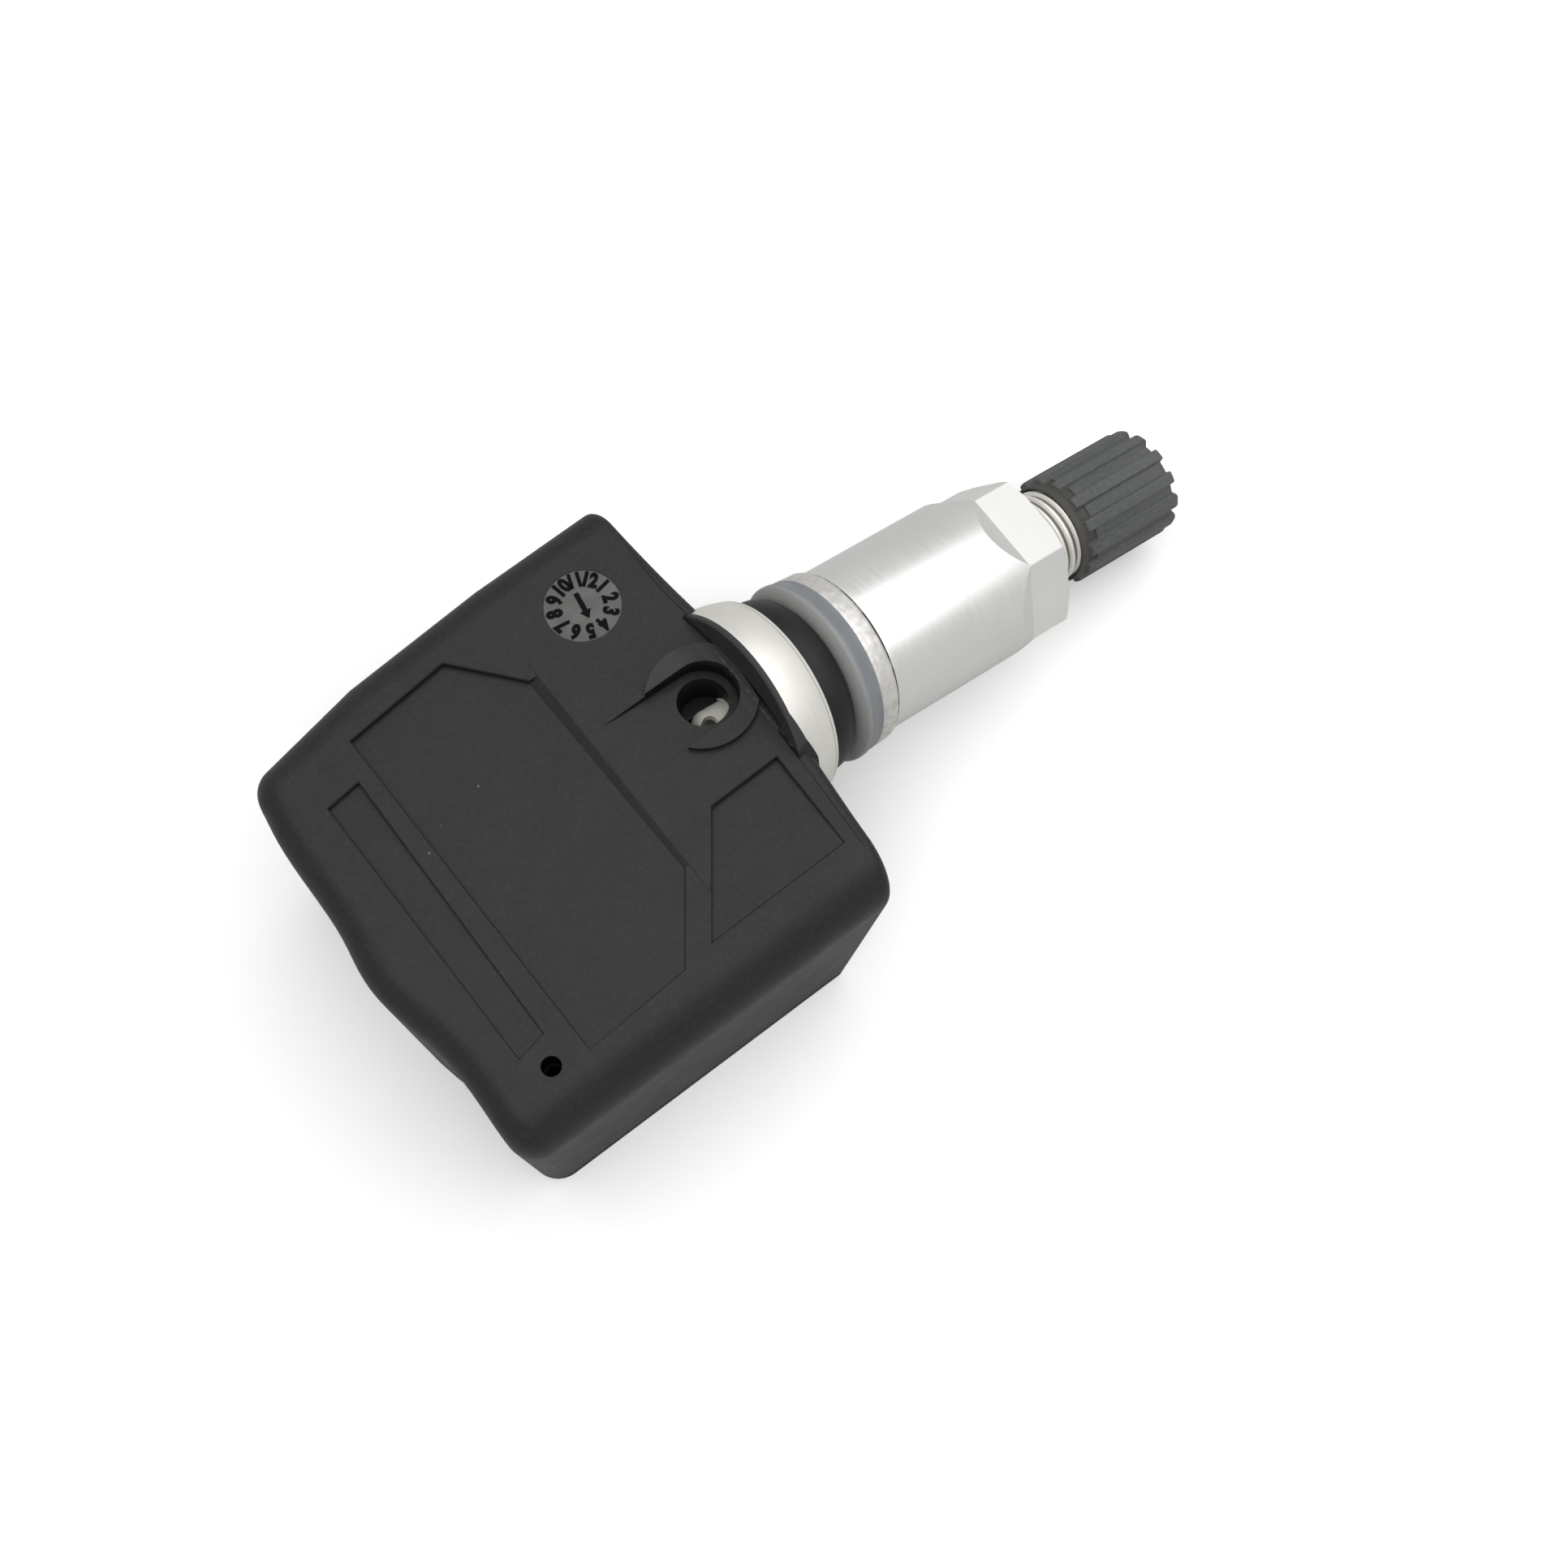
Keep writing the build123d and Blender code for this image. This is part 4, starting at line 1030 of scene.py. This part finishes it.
# %% Wind the thread
pitch = 25.4 / 32.0
turns = int((stem_end - thread_start) / pitch)
thread_steps = 56
chamfer_start = stem_end - 0.75
chamfer_slope = 0.62
ridge_foot = thread_root - 0.03
ridge_profile = [
    (0.0, ridge_foot),
    (0.20, thread_crest - 0.13),
    (0.28, thread_crest - 0.03),
    (0.35, thread_crest),
    (0.43, thread_crest),
    (0.50, thread_crest - 0.03),
    (0.58, thread_crest - 0.13),
    (0.77, ridge_foot),
]
ridge = [(thread_start + along, radius) for along, radius in ridge_profile]
bm = bmesh.new()
bm.faces.new(chain_of(bm, ridge, closed=True))
spin_on_valve(bm, bm.faces[:], thread_steps, turns, advance=pitch)
bmesh.ops.recalc_face_normals(bm, faces=bm.faces)
for vert in bm.verts:
    radius = math.hypot(vert.co.y, vert.co.z) / MM
    allowed = thread_crest - max(0.0, vert.co.x / MM - chamfer_start) * chamfer_slope
    if radius > allowed:
        vert.co.y *= allowed / radius
        vert.co.z *= allowed / radius
settle(bm, "valve_thread", "sensor", stem_metal, sharp_degrees=50.0)

# %% [markdown]
# ## Spring of the valve insert
# Inside the stem a small spring holds the insert's pin shut. It is a ring of wire wound along the axis by
# the same spin with a step. When the pin is pressed, the real spring shortens towards its seat.

# %% Wind the spring
spring_seat = 14.5
spring_length = 6.0
wire = 0.18
coil_radius = 0.85
coils = 6
coil_steps = 32
coil_advance = (spring_length - 2.0 * wire) / coils
quarter_turn = math.radians(90.0)

bm = bmesh.new()
bmesh.ops.create_circle(bm, cap_ends=True, segments=10, radius=wire * MM)
bmesh.ops.rotate(bm, verts=bm.verts, cent=(0, 0, 0), matrix=Matrix.Rotation(quarter_turn, 3, "X"))
bmesh.ops.translate(bm, verts=bm.verts, vec=((spring_seat + wire) * MM, 0.0, coil_radius * MM))
spin_on_valve(bm, bm.faces[:], coil_steps, coils, advance=coil_advance)
bmesh.ops.recalc_face_normals(bm, faces=bm.faces)
coil = settle(bm, "insert_spring", "sensor", spring_steel, ["core_spring"])
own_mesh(coil)

# %% [markdown]
# ## Cap
# A moulded dust cap with thirteen ribs, in a paler plastic than the case, soiled round its mouth, where
# painted shade also darkens the mouth ring and the pockets. The skin starts as a circle that is drawn out
# ring by ring. Each new ring has one place for the ribs and another for the flutes between them, and every
# point takes its share of the two by its angle. So the flutes start in a deeper square pocket behind the
# mouth ring and fall away between the rib ends, as on the real cap, which cutters for each flute would not
# give so softly.

# %% Make the cap's plastic
cap_plastic = moulded_plastic(
    "cap_plastic",
    (0.080, 0.083, 0.083),
    (0.095, 0.098, 0.097),
    grain_gain=1.12,
    roughness=0.58,
    specular=0.35,
    speck_share=0.05,
    scuff_light=(0.10, 0.10, 0.10),
    # dirt and painted shade in the mouth ring and the pockets
    soil_and_shade=(22.0, 24.2, 4.19, (0.060, 0.058, 0.052)),
)
print("finish:", cap_plastic.name)

# %% Drawing helpers for the cap
ribs = 13
rib_angle = 360.0 / ribs
flute_half_angle = 7.4
wall_angle = 1.7


def flute_share(y, z):
    """One in the middle of a flute, nought on a rib, with a steep soft wall between."""
    off = (math.degrees(math.atan2(z, y)) + rib_angle / 2.0) % rib_angle - rib_angle / 2.0
    share = (flute_half_angle + wall_angle / 2.0 - abs(off)) / wall_angle
    share = min(1.0, max(0.0, share))
    return share * share * (3.0 - 2.0 * share)


def draw_ring(bm, loop_edges, on_rib, in_flute):
    """Draws a ring of edges out to a new station and radius, given for ribs and for flutes."""
    grown = bmesh.ops.extrude_edge_only(bm, edges=loop_edges)["geom"]
    new_verts = verts_of(grown)
    for vert in new_verts:
        share = flute_share(vert.co.y, vert.co.z)
        station = on_rib[0] + (in_flute[0] - on_rib[0]) * share
        radius = on_rib[1] + (in_flute[1] - on_rib[1]) * share
        around = Vector((0.0, vert.co.y, vert.co.z)).normalized() * radius * MM
        vert.co = Vector((station * MM, around.y, around.z))
    edges = [item for item in grown if isinstance(item, bmesh.types.BMEdge)]
    return [edge for edge in edges if all(vert in new_verts for vert in edge.verts)]


def draw_out(bm, loop_edges, rings):
    """Draws a loop of edges through a list of rings and closes the last one."""
    for on_rib, in_flute in rings:
        loop_edges = draw_ring(bm, loop_edges, on_rib, in_flute)
    bmesh.ops.holes_fill(bm, edges=loop_edges, sides=0)


print("cap with a rib every", round(rib_angle, 2), "degrees")

# %% Plan the cap's rings
cap_mouth = 22.2
cap_end = 32.9
mouth_edge = 4.12
mouth_ring = 4.18
rib_start = 22.95
rib_radius = 4.60
pocket_end = rib_start + 0.95
pocket_radius = 4.06
flute_radius = 4.20

side_rings = [
    (cap_mouth + 0.06, mouth_ring, mouth_ring),
    (rib_start - 0.10, mouth_ring + 0.01, mouth_ring + 0.01),
    (rib_start - 0.02, mouth_ring + 0.04, mouth_ring - 0.02),
    (rib_start + 0.01, rib_radius - 0.06, pocket_radius + 0.01),
    (rib_start + 0.06, rib_radius, pocket_radius),
    (pocket_end - 0.09, rib_radius, pocket_radius),
    (pocket_end - 0.04, rib_radius, pocket_radius + 0.04),
    (pocket_end, rib_radius, flute_radius),
    (rib_start + 3.8, rib_radius, flute_radius),
    (rib_start + 6.8, rib_radius, flute_radius),
]
outer_rings = [((station, rib), (station, flute)) for station, rib, flute in side_rings]
outer_rings += [
    ((cap_end - 0.75, rib_radius), (cap_end - 0.80, flute_radius)),
    ((cap_end - 0.45, rib_radius - 0.01), (cap_end - 0.56, flute_radius - 0.02)),
    ((cap_end - 0.26, rib_radius - 0.06), (cap_end - 0.50, flute_radius - 0.08)),
    ((cap_end - 0.11, rib_radius - 0.17), (cap_end - 0.47, flute_radius - 0.18)),
    ((cap_end - 0.03, rib_radius - 0.32), (cap_end - 0.46, flute_radius - 0.30)),
    ((cap_end, rib_radius - 0.50), (cap_end - 0.42, flute_radius - 0.40)),
    ((cap_end, 3.72), (cap_end - 0.04, 3.70)),
    ((cap_end, 3.60), (cap_end, 3.60)),
    ((cap_end, 0.60), (cap_end, 0.60)),
]
hollow = [(cap_mouth, 4.03), (cap_mouth + 0.12, bore), (cap_end - 1.6, bore), (cap_end - 1.6, 0.6)]
inner_rings = [(place, place) for place in hollow]
print("cap of", len(outer_rings), "rings outside and", len(inner_rings), "inside")

# %% Mould the cap
columns = 26
segments = ribs * columns

bm = bmesh.new()
bmesh.ops.create_circle(bm, cap_ends=False, segments=segments, radius=mouth_edge * MM)
bmesh.ops.rotate(bm, verts=bm.verts, cent=(0, 0, 0), matrix=Matrix.Rotation(quarter_turn, 3, "Y"))
bmesh.ops.rotate(bm, verts=bm.verts, cent=(0, 0, 0), matrix=Matrix.Rotation(math.pi / segments, 3, "X"))
bmesh.ops.translate(bm, verts=bm.verts, vec=(cap_mouth * MM, 0.0, 0.0))
mouth_edges = bm.edges[:]
draw_out(bm, mouth_edges, outer_rings)
draw_out(bm, mouth_edges, inner_rings)
bmesh.ops.recalc_face_normals(bm, faces=bm.faces)
settle(bm, "fluted_cap", "cap", cap_plastic, ["valve_cap"], sharp_degrees=52.0)

# %% [markdown]
# ## Date wheel
# Moulders press a small insert into the tool that leaves a clock of month numbers with an arrow. The disc
# lies in its shallow recess, with a fine groove between the numbers and the arrow. The numbers are text
# made into meshes, set round the circle with their tops outwards, and the arrow is a short outline, all
# standing up a few hundredths of a millimetre, so that they show from every side.

# %% Set the disc
date_centre = Vector((10.47, 12.44, 0.0)) * MM
date_radius = 2.93 * MM
date_floor = (case_top - 0.12) * MM
disc_top = date_floor + 0.05 * MM
disc_sides = 96
edge_inset = (0.08, 0.0)
number_field = (1.30, 0.0)
groove_in = (0.03, -0.03)
groove_out = (0.03, 0.03)

disc_dark = (0.105, 0.103, 0.100)
disc_pale = (0.135, 0.133, 0.128)
disc_plastic = grained("date_disc", 0.0, 0.55, disc_dark, disc_pale, 5200.0, 0.010, specular=0.2)
bm = bmesh.new()
bmesh.ops.create_circle(bm, cap_ends=True, segments=disc_sides, radius=date_radius)
for thickness, depth in (edge_inset, number_field, groove_in, groove_out):
    middle = [face for face in bm.faces if len(face.verts) == disc_sides]
    bmesh.ops.inset_region(bm, faces=middle, thickness=thickness * MM, depth=depth * MM)
wall = bmesh.ops.extrude_edge_only(bm, edges=[edge for edge in bm.edges if edge.is_boundary])["geom"]
bmesh.ops.translate(bm, verts=verts_of(wall), vec=(0.0, 0.0, date_floor - disc_top))
bmesh.ops.translate(bm, verts=bm.verts, vec=(date_centre.x, date_centre.y, disc_top))
bmesh.ops.recalc_face_normals(bm, faces=bm.faces)
settle(bm, "date_disc", "sensor", disc_plastic, lay_on_valve=False)

# %% Write the numbers
twelve_at = math.radians(40.4)
number_ring = 2.12 * MM
number_size = 1.60 * MM
number_boldness = 0.085 * MM
number_narrowing = 0.80
mark_height = 0.06 * MM


def month_mesh(number):
    """A month's number as a flat mesh of the marks' height, centred on the origin."""
    text = bpy.data.curves.new("month", "FONT")
    text.body = str(number)
    text.align_x = "CENTER"
    text.align_y = "CENTER"
    text.size = number_size
    text.offset = number_boldness
    text.extrude = mark_height / 2.0
    text.resolution_u = 3
    holder = bpy.data.objects.new("month", text)
    scene.collection.objects.link(holder)
    bpy.context.view_layer.update()
    ready = holder.evaluated_get(bpy.context.evaluated_depsgraph_get())
    mesh = bpy.data.meshes.new_from_object(ready)
    bpy.data.objects.remove(holder)
    bpy.data.curves.remove(text)
    return mesh


marks = bmesh.new()
lift = Vector((0.0, 0.0, disc_top + mark_height / 2.0))
for number in range(1, 13):
    mesh = month_mesh(number)
    place_angle = twelve_at - math.radians(30.0) * number
    outwards = Vector((math.cos(place_angle), math.sin(place_angle), 0.0))
    mesh.transform(
        Matrix.Translation(date_centre + outwards * number_ring + lift)
        @ Matrix.Rotation(place_angle - quarter_turn, 4, "Z")
        @ Matrix.Diagonal((number_narrowing, 1.0, 1.0, 1.0))
    )
    marks.from_mesh(mesh)
    bpy.data.meshes.remove(mesh)
print("twelve numbers of", len(marks.faces), "faces")

# %% Set the arrow
arrow_at = math.radians(-99.3)
arrow_half_length = 1.15
head_start = 0.45
head_half_width = 0.44
shaft_half_width = 0.19

ink_dark = (0.0025, 0.0025, 0.0025)
ink_pale = (0.0045, 0.0043, 0.0042)
ink_plastic = grained("date_marks", 0.0, 0.60, ink_dark, ink_pale, 5200.0, 0.008, specular=0.06)
arrow = [
    (-arrow_half_length, -shaft_half_width),
    (head_start, -shaft_half_width),
    (head_start, -head_half_width),
    (arrow_half_length, 0.0),
    (head_start, head_half_width),
    (head_start, shaft_half_width),
    (-arrow_half_length, shaft_half_width),
]
arrow_turn = Matrix.Rotation(arrow_at, 4, "Z")
arrow_place = date_centre + Vector((0.0, 0.0, disc_top))
arrow_verts = [marks.verts.new(arrow_place + arrow_turn @ Vector((x * MM, y * MM, 0.0))) for x, y in arrow]
raised = bmesh.ops.extrude_face_region(marks, geom=[marks.faces.new(arrow_verts)])["geom"]
bmesh.ops.translate(marks, verts=verts_of(raised), vec=(0.0, 0.0, mark_height))
bmesh.ops.remove_doubles(marks, verts=marks.verts, dist=1e-8)
bmesh.ops.recalc_face_normals(marks, faces=marks.faces)
settle(marks, "date_marks", "sensor", ink_plastic, lay_on_valve=False)
